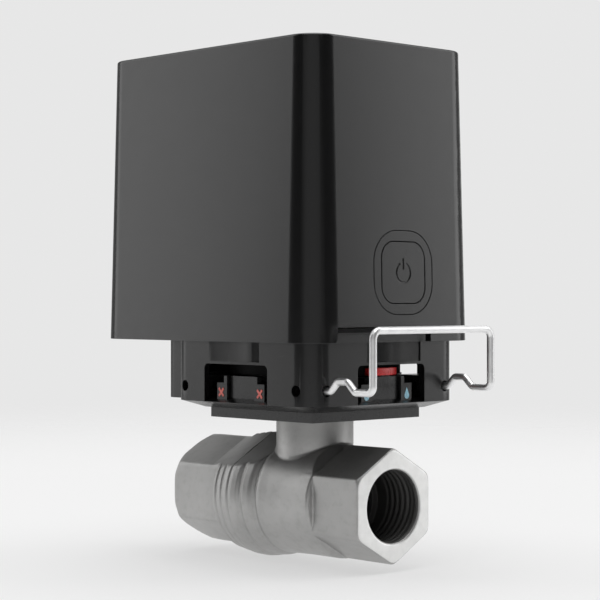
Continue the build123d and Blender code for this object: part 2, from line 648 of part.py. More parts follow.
with BuildPart() as cover:
    with BuildSketch(level(COVER_BOTTOM)):
        with Locations((FLOOR_CX, 0)):
            RectangleRounded(COVER_LX, COVER_LY, COVER_R)
    with BuildSketch(level(COVER_TOP)):
        with Locations((FLOOR_CX, 0)):
            RectangleRounded(COVER_LX - 2 * COVER_INSET, COVER_LY - 2 * COVER_INSET, COVER_R - COVER_INSET)
    loft(ruled=True)
    fillet(cover.faces().sort_by(Axis.Z)[-1].edges(), 0.65)
    inner = COVER_INSET * (COVER_TOP - COVER_ROOF - COVER_BOTTOM) / (COVER_TOP - COVER_BOTTOM)
    with BuildSketch(level(COVER_BOTTOM)):
        with Locations((FLOOR_CX, 0)):
            RectangleRounded(COVER_LX - 2 * COVER_WALL, COVER_LY - 2 * COVER_WALL, COVER_R - COVER_WALL)
    with BuildSketch(level(COVER_TOP - COVER_ROOF)):
        with Locations((FLOOR_CX, 0)):
            RectangleRounded(COVER_LX - 2 * COVER_WALL - 2 * inner, COVER_LY - 2 * COVER_WALL - 2 * inner, COVER_R - COVER_WALL - inner)
    loft(ruled=True, mode=Mode.SUBTRACT)
    # screw bosses on the rear corners, tied to the side walls
    with BuildSketch(level(FLOOR_TOP + 0.1)):
        with Locations((-48.0, 21.5), (-48.0, -21.5)):
            Circle(3.4)
        with Locations((-48.0, 25.5), (-48.0, -25.5)):
            Rectangle(3.0, 7.0)
    extrude(amount=11.0)
    with BuildSketch(level(FLOOR_TOP)):
        with Locations((-48.0, 21.5), (-48.0, -21.5)):
            Circle(1.5)
    extrude(amount=9.0, mode=Mode.SUBTRACT)
    # notch for the locking lip
    with BuildSketch(facing_x(24.0)):
        with Locations(((LIP_Y0 + NOTCH_Y1) / 2, (COVER_BOTTOM - 2 + NOTCH_TOP) / 2)):
            Rectangle(NOTCH_Y1 - LIP_Y0, NOTCH_TOP - COVER_BOTTOM + 2)
    extrude(amount=10.0, mode=Mode.SUBTRACT)
    # opening for the button ring
    with BuildSketch(button_plane(6.0)):
        RectangleRounded(RING_SIZE + 0.3, RING_SIZE + 0.3, RING_CORNER + 0.15)
    extrude(amount=8.0, mode=Mode.SUBTRACT)
cover.part.label = "cover"
export_step(cover.part, "parts/cover.step")

# Flat gasket on the floor's edge.
with BuildPart() as cover_gasket:
    with BuildSketch(level(FLOOR_TOP)):
        with Locations((FLOOR_CX, 0)):
            RectangleRounded(FLOOR_LX, FLOOR_LY, COVER_R - COVER_WALL - 0.15)
            RectangleRounded(FLOOR_LX - 2.6, FLOOR_LY - 2.6, COVER_R - COVER_WALL - 1.45, mode=Mode.SUBTRACT)
        for m in (-1, 1):
            with Locations((22.4, m * 24.3)):
                Rectangle(5.2, 4.0, mode=Mode.SUBTRACT)
            with Locations((-48.0, m * 26.0)):
                Rectangle(3.6, 8.0, mode=Mode.SUBTRACT)
    extrude(amount=1.0)
cover_gasket.part.label = "cover_gasket"
export_step(cover_gasket.part, "parts/cover_gasket.step")

# Cover screws, put in from below.
with BuildPart() as cover_screws:
    with BuildSketch(level(SKIRT_TOP + 0.1)):
        with Locations((-48.0, 21.5), (-48.0, -21.5)):
            Circle(2.75)
    extrude(amount=0.8)
    with BuildSketch(level(SKIRT_TOP + 0.9)):
        with Locations((-48.0, 21.5), (-48.0, -21.5)):
            Circle(1.5)
    extrude(amount=9.0)
    with BuildSketch(level(SKIRT_TOP)):
        with Locations((-48.0, 21.5), (-48.0, -21.5)):
            Rectangle(2.6, 0.5)
            Rectangle(0.5, 2.6)
    extrude(amount=0.6, mode=Mode.SUBTRACT)
cover_screws.part.label = "cover_screws"
export_step(cover_screws.part, "parts/cover_screws.step")

# ================= button =================

with BuildPart() as button_ring:
    with BuildSketch(button_plane(2.9)):
        RectangleRounded(RING_SIZE, RING_SIZE, RING_CORNER)
    extrude(amount=2.9)
    with BuildSketch(button_plane(3.1)):
        RectangleRounded(RING_SIZE + 2.4, RING_SIZE + 2.4, RING_CORNER + 1.2)
    extrude(amount=0.8)
    with BuildSketch(button_plane(4.0)):
        RectangleRounded(KEY_SIZE + 0.4, KEY_SIZE + 0.4, KEY_CORNER + 0.2)
    extrude(amount=5.0, mode=Mode.SUBTRACT)
    # light guide leg towards the status lamp
    with BuildSketch(button_plane(4.6)):
        with Locations((0, 10.15)):
            Rectangle(3.0, 2.4)
    extrude(amount=2.0)
button_ring.part.label = "button_ring"
export_step(button_ring.part, "parts/button_ring.step")

with BuildPart() as power_button:
    with BuildSketch(button_plane(3.15)):
        RectangleRounded(KEY_SIZE, KEY_SIZE, KEY_CORNER)
    extrude(amount=3.15)
    with BuildSketch(button_plane(3.9)):
        RectangleRounded(KEY_SIZE + 1.6, KEY_SIZE + 1.6, KEY_CORNER + 0.8)
    extrude(amount=0.75)
    with BuildSketch(button_plane(4.5)):
        Circle(1.6)
    extrude(amount=0.8)
    # sunk power sign: an open ring and a bar
    with BuildSketch(button_plane(0.25)):
        Circle(2.75)
        Circle(2.3, mode=Mode.SUBTRACT)
        with Locations((0, 2.6)):
            Rectangle(2.2, 2.6, mode=Mode.SUBTRACT)
        with Locations((0, 2.2)):
            Rectangle(0.45, 2.9)
    extrude(amount=1.0, mode=Mode.SUBTRACT)
power_button.part.label = "power_button"
export_step(power_button.part, "parts/power_button.step")

# ================= retaining clip =================


def clip_points(m):
    # one foot of the clip, from the tip of its leg to the bail
    return [
        (STEM_X + 13.5, m * CLIP_Y, CLIP_Z),
        (STEM_X + 28.2, m * CLIP_Y, CLIP_Z),
        (STEM_X + 30.7, m * CLIP_Y, CLIP_Z + 2.5),
        (STEM_X + 34.1, m * CLIP_Y, CLIP_Z + 2.5),
        (STEM_X + 36.8, m * CLIP_Y, CLIP_Z),
        (STEM_X + BAIL_X, m * CLIP_Y, CLIP_Z),
        (STEM_X + BAIL_X, m * CLIP_Y, BAIL_Z),
    ]


with BuildPart() as retaining_clip:
    with BuildLine():
        route = clip_points(-1) + clip_points(1)[::-1]
        FilletPolyline(*route, radius=[1.3, 1.3, 1.3, 1.3, 1.6, 2.1, 2.1, 1.6, 1.3, 1.3, 1.3, 1.3])
    with BuildSketch(Plane(origin=route[0], x_dir=(0, 1, 0), z_dir=(1, 0, 0))):
        Circle(WIRE_R)
    sweep()
retaining_clip.part.label = "retaining_clip"
export_step(retaining_clip.part, "parts/retaining_clip.step")

# ================= gear train =================

IDLER_ANGLE = math.degrees(math.atan2(IDLER_Y, IDLER_X))
MOTOR_ANGLE = math.degrees(math.atan2(MOTOR_Y - IDLER_Y, MOTOR_X - IDLER_X))

output_face = involute_gear(level(GEAR_Z0), OUT_TEETH, OUT_M, IDLER_ANGLE)
idler_pinion_face = involute_gear(level(GEAR_Z0, IDLER_X, IDLER_Y), IDLER_TEETH, OUT_M, IDLER_ANGLE + 180 + 180 / IDLER_TEETH)
idler_wheel_face = involute_gear(level(WHEEL_Z0, IDLER_X, IDLER_Y), IDLER_WHEEL_TEETH, FIRST_M, MOTOR_ANGLE)
motor_pinion_face = involute_gear(level(WHEEL_Z0 - 0.2, MOTOR_X, MOTOR_Y), PINION_TEETH, FIRST_M, MOTOR_ANGLE + 180 + 180 / PINION_TEETH)

# Output gear with its hub, upper journal and square socket.
with BuildPart() as output_gear:
    extrude(to_extrude=output_face, amount=GEAR_Z1 - GEAR_Z0)
    with BuildSketch(section):
        Polygon((0, GEAR_Z1 - 1), (9.0, GEAR_Z1 - 1), (9.0, 54.3), (4.0, 54.3), (4.0, 62.2), (0, 62.2))
    revolve(axis=stem_axis)
    with BuildSketch(level(GEAR_Z0 - 1)):
        Rectangle(8.0, 8.0)
    extrude(amount=51.8 - GEAR_Z0 + 1, mode=Mode.SUBTRACT)
    with BuildSketch(level(GEAR_Z0 + 1.6)):
        Circle(17.0)
        Circle(10.2, mode=Mode.SUBTRACT)
    extrude(amount=6, mode=Mode.SUBTRACT)
    # flat on the journal for the cam
    with BuildSketch(level(59.0)):
        with Locations((0, 4.6)):
            Rectangle(10, 3)
    extrude(amount=5, mode=Mode.SUBTRACT)
output_gear.part.label = "output_gear"
export_step(output_gear.part, "parts/output_gear.step")

with BuildPart() as idler_gear:
    extrude(to_extrude=idler_pinion_face, amount=WHEEL_Z0 - GEAR_Z0)
    extrude(to_extrude=idler_wheel_face, amount=WHEEL_Z1 - WHEEL_Z0)
    with BuildSketch(level(WHEEL_Z1 - 0.5, IDLER_X, IDLER_Y)):
        Circle(4.0)
    extrude(amount=1.4)
    with BuildSketch(level(GEAR_Z0 - 1, IDLER_X, IDLER_Y)):
        Circle(AXLE_R + 0.05)
    extrude(amount=14, mode=Mode.SUBTRACT)
idler_gear.part.label = "idler_gear"
export_step(idler_gear.part, "parts/idler_gear.step")

with BuildPart() as idler_axle:
    with BuildSketch(level(43.0, IDLER_X, IDLER_Y)):
        Circle(AXLE_R)
    extrude(amount=PLATE_Z1 - 43.0 - 0.3)
idler_axle.part.label = "idler_axle"
export_step(idler_axle.part, "parts/idler_axle.step")

with BuildPart() as motor_pinion:
    extrude(to_extrude=motor_pinion_face, amount=4.4)
    with BuildSketch(level(WHEEL_Z0 - 1, MOTOR_X, MOTOR_Y)):
        Circle(SHAFT_R)
    extrude(amount=8, mode=Mode.SUBTRACT)
motor_pinion.part.label = "motor_pinion"
export_step(motor_pinion.part, "parts/motor_pinion.step")

with BuildPart() as motor_shaft:
    with BuildSketch(level(WHEEL_Z0 - 0.4, MOTOR_X, MOTOR_Y)):
        Circle(SHAFT_R)
    extrude(amount=62.0 - WHEEL_Z0)
motor_shaft.part.label = "motor_shaft"
export_step(motor_shaft.part, "parts/motor_shaft.step")

# Plate that carries the motor and the upper bearings.
with BuildPart() as gearbox_plate:
    with BuildSketch(level(PLATE_Z0)):
        with Locations((-15.0, 0)):
            RectangleRounded(70.0, 46.0, 4.0)
        with Locations((0, 0)):
            Circle(6.0, mode=Mode.SUBTRACT)
        with Locations((IDLER_X, IDLER_Y)):
            Circle(AXLE_R, mode=Mode.SUBTRACT)
        with Locations((MOTOR_X, MOTOR_Y)):
            Circle(3.1, mode=Mode.SUBTRACT)
        with Locations((MOTOR_X, MOTOR_Y + 4.5), (MOTOR_X, MOTOR_Y - 4.5)):
            Circle(0.85, mode=Mode.SUBTRACT)
        with Locations((17.0, 17.8), (17.0, -17.8), (-17.0, -20.0), (-47.0, 9.0)):
            Circle(1.3, mode=Mode.SUBTRACT)
    extrude(amount=PLATE_Z1 - PLATE_Z0)
gearbox_plate.part.label = "gearbox_plate"
export_step(gearbox_plate.part, "parts/gearbox_plate.step")

with BuildPart() as gearbox_screws:
    with BuildSketch(level(47.5)):
        with Locations((17.0, 17.8), (17.0, -17.8), (-17.0, -20.0), (-47.0, 9.0)):
            Circle(0.95)
    extrude(amount=PLATE_Z1 - 47.5)
    with BuildSketch(level(PLATE_Z1)):
        with Locations((17.0, 17.8), (17.0, -17.8), (-17.0, -20.0), (-47.0, 9.0)):
            Circle(2.1)
    extrude(amount=1.4)
gearbox_screws.part.label = "gearbox_screws"
export_step(gearbox_screws.part, "parts/gearbox_screws.step")

with BuildPart() as output_bushing:
    with BuildSketch(section):
        Polygon((4.05, 55.2), (7.5, 55.2), (7.5, 56.0), (6.0, 56.0), (6.0, 58.5), (4.05, 58.5))
    revolve(axis=stem_axis)
output_bushing.part.label = "output_bushing"
export_step(output_bushing.part, "parts/output_bushing.step")

# Motor with its reduction gearbox, standing on the plate.
with BuildPart() as motor_gearbox:
    with BuildSketch(level(PLATE_Z1, MOTOR_X, MOTOR_Y)):
        Rectangle(10.0, 12.0)
    extrude(amount=9.0)
    with BuildSketch(level(PLATE_Z0 + 0.3, MOTOR_X, MOTOR_Y)):
        Circle(3.1)
    extrude(amount=PLATE_Z1 - PLATE_Z0)
    with BuildSketch(level(PLATE_Z0, MOTOR_X, MOTOR_Y)):
        Circle(SHAFT_R + 0.05)
    extrude(amount=7.0, mode=Mode.SUBTRACT)
    with BuildSketch(level(PLATE_Z0, MOTOR_X, MOTOR_Y)):
        with Locations((0, 4.5), (0, -4.5)):
            Circle(0.8)
    extrude(amount=6.0, mode=Mode.SUBTRACT)
motor_gearbox.part.label = "motor_gearbox"
export_step(motor_gearbox.part, "parts/motor_gearbox.step")

with BuildPart() as motor_can:
    with BuildSketch(level(PLATE_Z1 + 9.0, MOTOR_X, MOTOR_Y)):
        Circle(6.0)
        with Locations((6.5, 0), (-6.5, 0)):
            Rectangle(3.0, 14.0, mode=Mode.SUBTRACT)
    extrude(amount=15.0)
    with BuildSketch(level(PLATE_Z1 + 24.0, MOTOR_X, MOTOR_Y)):
        Circle(2.0)
    extrude(amount=0.8)
motor_can.part.label = "motor_can"
export_step(motor_can.part, "parts/motor_can.step")

with BuildPart() as motor_screws:
    with BuildSketch(level(PLATE_Z0 - 0.8, MOTOR_X, MOTOR_Y)):
        with Locations((0, 4.5), (0, -4.5)):
            Circle(1.4)
    extrude(amount=0.8)
    with BuildSketch(level(PLATE_Z0, MOTOR_X, MOTOR_Y)):
        with Locations((0, 4.5), (0, -4.5)):
            Circle(0.8)
    extrude(amount=5.0)
motor_screws.part.label = "motor_screws"
export_step(motor_screws.part, "parts/motor_screws.step")

# Cam on the journal and the two limit switches around it.
with BuildPart() as limit_cam:
    with BuildSketch(level(59.2)):
        Circle(6.5)
        with Locations((0, -6.0)):
            RectangleRounded(3.4, 7.0, 1.2)
        Circle(4.0, mode=Mode.SUBTRACT)
    extrude(amount=2.8)
limit_cam.part.label = "limit_cam"
export_step(limit_cam.part, "parts/limit_cam.step")

with BuildPart() as limit_switch_open:
    with BuildSketch(level(PLATE_Z1, 0, -14.9)):
        Rectangle(12.8, 5.8)
    extrude(amount=6.0)
    with BuildSketch(facing_y(-12.0, 0, 60.6)):
        Rectangle(1.6, 1.6)
    extrude(amount=-1.6)
    with BuildSketch(level(PLATE_Z1 + 6.0, 0, -14.9)):
        with Locations((-4.6, 0), (0, 0), (4.6, 0)):
            Rectangle(0.5, 2.0)
    extrude(amount=2.0)
limit_switch_open.part.label = "limit_switch_open"
export_step(limit_switch_open.part, "parts/limit_switch_open.step")

with BuildPart() as limit_switch_closed:
    with BuildSketch(level(PLATE_Z1, -14.9, 0)):
        Rectangle(5.8, 12.8)
    extrude(amount=6.0)
    with BuildSketch(facing_x(-12.0, 0, 60.6)):
        Rectangle(1.6, 1.6)
    extrude(amount=1.6)
    with BuildSketch(level(PLATE_Z1 + 6.0, -14.9, 0)):
        with Locations((0, -4.6), (0, 0), (0, 4.6)):
            Rectangle(2.0, 0.5)
    extrude(amount=2.0)
limit_switch_closed.part.label = "limit_switch_closed"
export_step(limit_switch_closed.part, "parts/limit_switch_closed.step")

# ================= batteries =================

CELL_R = 8.5
CELL_Z0, CELL_Z1 = 70.0, 104.5
CELLS = [(-18.2, 8.95), (-18.2, -8.95), (-0.3, 8.95), (-0.3, -8.95)]

with BuildPart() as battery_holder:
    with BuildSketch(level(67.0)):
        with Locations((-5.6, 0)):
            Rectangle(45.2, 38.4)
    extrude(amount=1.6)
    with BuildSketch(level(67.0)):
        with Locations((-9.25, 0)):
            Rectangle(37.9, 38.4)
    extrude(amount=37.0)
    with BuildSketch(level(68.6)):
        with Locations(*CELLS):
            Circle(CELL_R + 0.2)
    extrude(amount=40, mode=Mode.SUBTRACT)
    with BuildSketch(level(PLATE_Z1)):
        with Locations((-25.0, 16.0), (-25.0, -16.0), (14.0, 14.0), (14.0, -14.0)):
            Circle(2.3)
    extrude(amount=67.0 - PLATE_Z1)
    with BuildSketch(level(96.0)):
        with Locations((-9.25, 0)):
            Circle(0.8)
    extrude(amount=20, mode=Mode.SUBTRACT)
battery_holder.part.label = "battery_holder"
export_step(battery_holder.part, "parts/battery_holder.step")


def cell_profile(x, y):
    # half section of one cell: can with a short nose
    with BuildSketch(facing_y(y, x)) as out:
        Polygon(
            (0, CELL_Z0), (CELL_R - 0.4, CELL_Z0), (CELL_R, CELL_Z0 + 0.4), (CELL_R, CELL_Z1 - 1.6), (CELL_R - 0.6, CELL_Z1 - 1.0),
            (3.0, CELL_Z1 - 1.0), (3.0, CELL_Z1), (0, CELL_Z1),
        )
    return out.sketch


with BuildPart() as battery_cell_1:
    revolve(profiles=cell_profile(*CELLS[0]), axis=Axis((STEM_X + CELLS[0][0], CELLS[0][1], 0), (0, 0, 1)))
battery_cell_1.part.label = "battery_cell_1"
export_step(battery_cell_1.part, "parts/battery_cell_1.step")

with BuildPart() as battery_cell_2:
    revolve(profiles=cell_profile(*CELLS[1]), axis=Axis((STEM_X + CELLS[1][0], CELLS[1][1], 0), (0, 0, 1)))
battery_cell_2.part.label = "battery_cell_2"
export_step(battery_cell_2.part, "parts/battery_cell_2.step")

with BuildPart() as battery_cell_3:
    revolve(profiles=cell_profile(*CELLS[2]), axis=Axis((STEM_X + CELLS[2][0], CELLS[2][1], 0), (0, 0, 1)))
battery_cell_3.part.label = "battery_cell_3"
export_step(battery_cell_3.part, "parts/battery_cell_3.step")

with BuildPart() as battery_cell_4:
    revolve(profiles=cell_profile(*CELLS[3]), axis=Axis((STEM_X + CELLS[3][0], CELLS[3][1], 0), (0, 0, 1)))
battery_cell_4.part.label = "battery_cell_4"
export_step(battery_cell_4.part, "parts/battery_cell_4.step")

# Lower contacts: one domed leaf under each cell.
with BuildPart() as battery_contacts_lower:
    with BuildSketch(level(68.6)):
        with Locations(*CELLS):
            Circle(6.0)
    extrude(amount=0.4)
    with BuildSketch(level(69.0)):
        with Locations(*CELLS):
            Circle(3.0)
    extrude(amount=1.0)
battery_contacts_lower.part.label = "battery_contacts_lower"
export_step(battery_contacts_lower.part, "parts/battery_contacts_lower.step")

# Upper contacts: two bars, each joining a pair of cells.
with BuildPart() as battery_contacts_upper:
    with BuildSketch(level(CELL_Z1)):
        with Locations((-18.2, 0), (-0.3, 0)):
            Rectangle(6.0, 24.0)
        with Locations((-18.2, 0)):
            Circle(2.0, mode=Mode.SUBTRACT)
    extrude(amount=0.4)
battery_contacts_upper.part.label = "battery_contacts_upper"
export_step(battery_contacts_upper.part, "parts/battery_contacts_upper.step")

with BuildPart() as battery_lid:
    with BuildSketch(level(104.0)):
        with Locations((-9.25, 0)):
            Rectangle(37.9, 38.4)
    extrude(amount=2.6)
    with BuildSketch(level(103.0)):
        with Locations((-9.25, 0)):
            Rectangle(35.5, 36.0)
    extrude(amount=1.9, mode=Mode.SUBTRACT)
    with BuildSketch(level(103.0)):
        with Locations((-9.25, 0)):
            Circle(1.1)
    extrude(amount=5, mode=Mode.SUBTRACT)
battery_lid.part.label = "battery_lid"
export_step(battery_lid.part, "parts/battery_lid.step")

with BuildPart() as battery_lid_screw:
    with BuildSketch(level(98.0, -9.25)):
        Circle(0.8)
    extrude(amount=8.6)
    with BuildSketch(level(106.6, -9.25)):
        Circle(1.8)
    extrude(amount=1.2)
battery_lid_screw.part.label = "battery_lid_screw"
export_step(battery_lid_screw.part, "parts/battery_lid_screw.step")

# ================= electronics =================

BOARD_X = 21.05

with BuildPart() as main_board:
    with BuildSketch(facing_x(BOARD_X, 0, 76.0)):
        RectangleRounded(48.0, 58.0, 1.5)
        with Locations((0, 26.5)):
            Circle(1.6, mode=Mode.SUBTRACT)
    extrude(amount=1.6)
main_board.part.label = "main_board"
export_step(main_board.part, "parts/main_board.step")

with BuildPart() as board_components:
    with BuildSketch(facing_x(BOARD_X + 1.6, 0, 0)):
        with Locations((-12.0, 78.0)):
            Rectangle(8.0, 8.0)
        with Locations((-14.0, 66.0)):
            Rectangle(5.0, 4.0)
        with Locations((14.0, 62.0)):
            Rectangle(4.0, 6.0)
    extrude(amount=1.2)
    with BuildSketch(facing_x(BOARD_X, 0, 0)):
        with Locations((-18.5, 90.0)):
            Circle(3.1)
    extrude(amount=-6.0)
board_components.part.label = "board_components"
export_step(board_components.part, "parts/board_components.step")

with BuildPart() as radio_module:
    with BuildSketch(facing_x(BOARD_X + 1.6, 10.0, 90.0)):
        RectangleRounded(16.0, 20.0, 0.8)
    extrude(amount=2.4)
radio_module.part.label = "radio_module"
export_step(radio_module.part, "parts/radio_module.step")

with BuildPart() as status_led:
    with BuildSketch(facing_x(BOARD_X + 1.6, BUTTON_Y, 69.2)):
        Rectangle(2.4, 1.8)
    extrude(amount=1.2)
status_led.part.label = "status_led"
export_step(status_led.part, "parts/status_led.step")

PRESS_X = STEM_X + FACE_X - 4.55 * math.cos(math.radians(TILT))
SWITCH_Z = BUTTON_Z - 4.5 * math.sin(math.radians(TILT))

with BuildPart() as tact_switch:
    with BuildSketch(facing_x(BOARD_X + 1.6, BUTTON_Y, SWITCH_Z)):
        Rectangle(6.0, 6.0)
    extrude(amount=2.4)
    with BuildSketch(facing_x(BOARD_X + 2.6, BUTTON_Y, SWITCH_Z)):
        Circle(1.8)
    extrude(amount=3.0, mode=Mode.SUBTRACT)
tact_switch.part.label = "tact_switch"
export_step(tact_switch.part, "parts/tact_switch.step")

# Plunger of the switch, which the button's stub pushes.
with BuildPart() as switch_plunger:
    with BuildSketch(facing_x(BOARD_X + 3.5, BUTTON_Y, SWITCH_Z)):
        Circle(1.7)
    extrude(amount=PRESS_X - 0.02 - STEM_X - BOARD_X - 3.5)
switch_plunger.part.label = "switch_plunger"
export_step(switch_plunger.part, "parts/switch_plunger.step")
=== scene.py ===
import json
import math

import bmesh
import bpy
import numpy as np
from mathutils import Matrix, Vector


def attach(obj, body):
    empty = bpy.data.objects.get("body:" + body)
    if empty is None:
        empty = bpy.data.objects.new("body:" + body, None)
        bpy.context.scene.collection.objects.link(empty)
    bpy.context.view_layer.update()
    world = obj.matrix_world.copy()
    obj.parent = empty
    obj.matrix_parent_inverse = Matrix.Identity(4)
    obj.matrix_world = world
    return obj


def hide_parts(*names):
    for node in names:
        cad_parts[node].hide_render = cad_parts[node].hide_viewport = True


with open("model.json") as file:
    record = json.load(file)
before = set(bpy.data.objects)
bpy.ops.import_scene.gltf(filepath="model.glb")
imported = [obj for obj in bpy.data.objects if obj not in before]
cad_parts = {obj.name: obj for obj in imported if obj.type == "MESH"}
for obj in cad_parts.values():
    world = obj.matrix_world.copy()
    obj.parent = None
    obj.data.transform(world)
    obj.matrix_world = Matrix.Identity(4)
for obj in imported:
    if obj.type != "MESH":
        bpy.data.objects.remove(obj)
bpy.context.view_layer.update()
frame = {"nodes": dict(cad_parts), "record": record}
NODES = frame["nodes"]
MM = 0.001
STEM_X = 43.0

# ------------------------------------------------------------------ node helpers


class Graph:
    """A material under construction: short ways to add and link shader nodes."""

    def __init__(self, name):
        self.mat = bpy.data.materials.new(name)
        self.mat.use_nodes = True
        self.t = self.mat.node_tree
        self.t.nodes.clear()
        self.out = self.t.nodes.new("ShaderNodeOutputMaterial")
        self.bsdf = self.t.nodes.new("ShaderNodeBsdfPrincipled")
        self.t.links.new(self.bsdf.outputs[0], self.out.inputs[0])
        tc = self.t.nodes.new("ShaderNodeTexCoord")
        self.obj = self.scale(tc.outputs["Object"], 1000.0)  # millimetres

    def link(self, a, b):
        self.t.links.new(a, b)

    def scale(self, vec, s):
        n = self.t.nodes.new("ShaderNodeVectorMath")
        n.operation = "SCALE"
        self.link(vec, n.inputs[0])
        n.inputs["Scale"].default_value = s
        return n.outputs[0]

    def stretch(self, vec, s):
        n = self.t.nodes.new("ShaderNodeVectorMath")
        n.operation = "MULTIPLY"
        self.link(vec, n.inputs[0])
        n.inputs[1].default_value = s
        return n.outputs[0]

    def noise(self, scale=1.0, detail=3.0, rough=0.55, vec=None, distortion=0.0):
        n = self.t.nodes.new("ShaderNodeTexNoise")
        self.link(vec or self.obj, n.inputs["Vector"])
        n.inputs["Scale"].default_value = scale
        n.inputs["Detail"].default_value = detail
        n.inputs["Roughness"].default_value = rough
        n.inputs["Distortion"].default_value = distortion
        return n.outputs["Fac"]

    def cells(self, scale=1.0, vec=None):
        n = self.t.nodes.new("ShaderNodeTexVoronoi")
        self.link(vec or self.obj, n.inputs["Vector"])
        n.inputs["Scale"].default_value = scale
        return n.outputs["Distance"]

    def waves(self, scale, direction="X", kind="BANDS", vec=None, distortion=0.6, detail=2.0):
        n = self.t.nodes.new("ShaderNodeTexWave")
        n.wave_type = kind
        if kind == "BANDS":
            n.bands_direction = direction
        else:
            n.rings_direction = direction
        self.link(vec or self.obj, n.inputs["Vector"])
        n.inputs["Scale"].default_value = scale
        n.inputs["Distortion"].default_value = distortion
        n.inputs["Detail"].default_value = detail
        return n.outputs["Fac"]

    def span(self, value, a0, a1, b0, b1, smooth=False):
        n = self.t.nodes.new("ShaderNodeMapRange")
        n.interpolation_type = "SMOOTHSTEP" if smooth else "LINEAR"
        self.link(value, n.inputs["Value"])
        for key, v in zip(("From Min", "From Max", "To Min", "To Max"), (a0, a1, b0, b1)):
            n.inputs[key].default_value = v
        return n.outputs[0]

    def math(self, op, a, b=None, clamp=False):
        n = self.t.nodes.new("ShaderNodeMath")
        n.operation = op
        n.use_clamp = clamp
        for i, v in enumerate((a, b)):
            if v is None:
                continue
            if isinstance(v, (int, float)):
                n.inputs[i].default_value = v
            else:
                self.link(v, n.inputs[i])
        return n.outputs[0]

    def axes(self):
        n = self.t.nodes.new("ShaderNodeSeparateXYZ")
        self.link(self.obj, n.inputs[0])
        return n.outputs[0], n.outputs[1], n.outputs[2]

    def mix(self, fac, a, b):
        n = self.t.nodes.new("ShaderNodeMix")
        n.data_type = "RGBA"
        if isinstance(fac, (int, float)):
            n.inputs[0].default_value = fac
        else:
            self.link(fac, n.inputs[0])
        for i, c in ((6, a), (7, b)):
            if isinstance(c, (tuple, list)):
                n.inputs[i].default_value = (*c[:3], 1.0)
            else:
                self.link(c, n.inputs[i])
        return n.outputs[2]

    def bump(self, height, distance, strength=1.0, normal=None):
        n = self.t.nodes.new("ShaderNodeBump")
        n.inputs["Distance"].default_value = distance * MM
        n.inputs["Strength"].default_value = strength
        self.link(height, n.inputs["Height"])
        if normal is not None:
            self.link(normal, n.inputs["Normal"])
        return n.outputs[0]

    def edges(self, radius, low=0.02, high=0.25):
        """1 on worn outside and inside edges, 0 on flats: how far a rounded normal leans from the true one."""
        bev = self.t.nodes.new("ShaderNodeBevel")
        bev.samples = 4
        bev.inputs["Radius"].default_value = radius * MM
        geo = self.t.nodes.new("ShaderNodeNewGeometry")
        dot = self.t.nodes.new("ShaderNodeVectorMath")
        dot.operation = "DOT_PRODUCT"
        self.link(bev.outputs[0], dot.inputs[0])
        self.link(geo.outputs["Normal"], dot.inputs[1])
        return self.span(self.math("SUBTRACT", 1.0, dot.outputs["Value"]), low, high, 0.0, 1.0)

    def set(self, **values):
        for key, v in values.items():
            name = {
                "color": "Base Color", "rough": "Roughness", "metal": "Metallic", "normal": "Normal",
                "ior": "IOR", "coat": "Coat Weight", "coat_rough": "Coat Roughness", "spec": "Specular IOR Level",
                "sheen": "Sheen Weight", "sss": "Subsurface Weight", "emission": "Emission Color",
                "emission_strength": "Emission Strength", "transmission": "Transmission Weight",
            }[key]
            s = self.bsdf.inputs[name]
            if isinstance(v, (int, float)):
                s.default_value = v
            elif isinstance(v, (tuple, list)):
                s.default_value = (*v[:3], 1.0)
            else:
                self.link(v, s)
        return self


def moulded(name, color, rough=0.36, grain=0.006, spread=0.10, spec=0.5, wear=None, dust=0.0):
    """Moulded plastic: fine spark-eroded grain, faint flow clouds and handling marks."""
    g = Graph(name)
    cloud = g.noise(0.035, 4.0, 0.6)
    fine = g.noise(5.5, 2.0, 0.5)
    pits = g.cells(7.0)
    base = g.mix(g.span(cloud, 0.3, 0.7, 0.0, 1.0), [c * (1 - spread) for c in color], [c * (1 + spread) for c in color])
    base = g.mix(g.span(fine, 0.35, 0.75, 0.0, 0.25), base, [min(1, c * 1.5 + 0.002) for c in color])
    if wear:
        base = g.mix(g.math("MULTIPLY", g.edges(wear), g.span(g.noise(0.6, 4.0), 0.35, 0.7, 0.1, 0.8)), base, [min(1, c * 2.2 + 0.01) for c in color])
    marks = g.noise(0.3, 5.0, 0.65)
    r = g.math("ADD", g.span(marks, 0.3, 0.75, rough - 0.015, rough + 0.02), g.span(fine, 0.3, 0.7, -0.015, 0.015))
    n = g.bump(g.math("ADD", fine, g.math("MULTIPLY", pits, 0.6)), grain, 1.0)
    g.set(color=base, rough=r, normal=n, spec=spec, ior=1.58)
    return g.mat


def printed(name, color, light=None, rough=0.35):
    """Pad-printed ink or coloured moulding with slight mottling."""
    g = Graph(name)
    mottle = g.noise(2.2, 4.0, 0.6)
    base = g.mix(g.span(mottle, 0.35, 0.7, 0.0, 1.0), [c * 0.88 for c in color], light or [min(1, c * 1.12) for c in color])
    n = g.bump(g.noise(9.0, 2.0), 0.006, 0.6)
    g.set(color=base, rough=g.span(mottle, 0.3, 0.7, rough - 0.05, rough + 0.06), normal=n)
    return g.mat


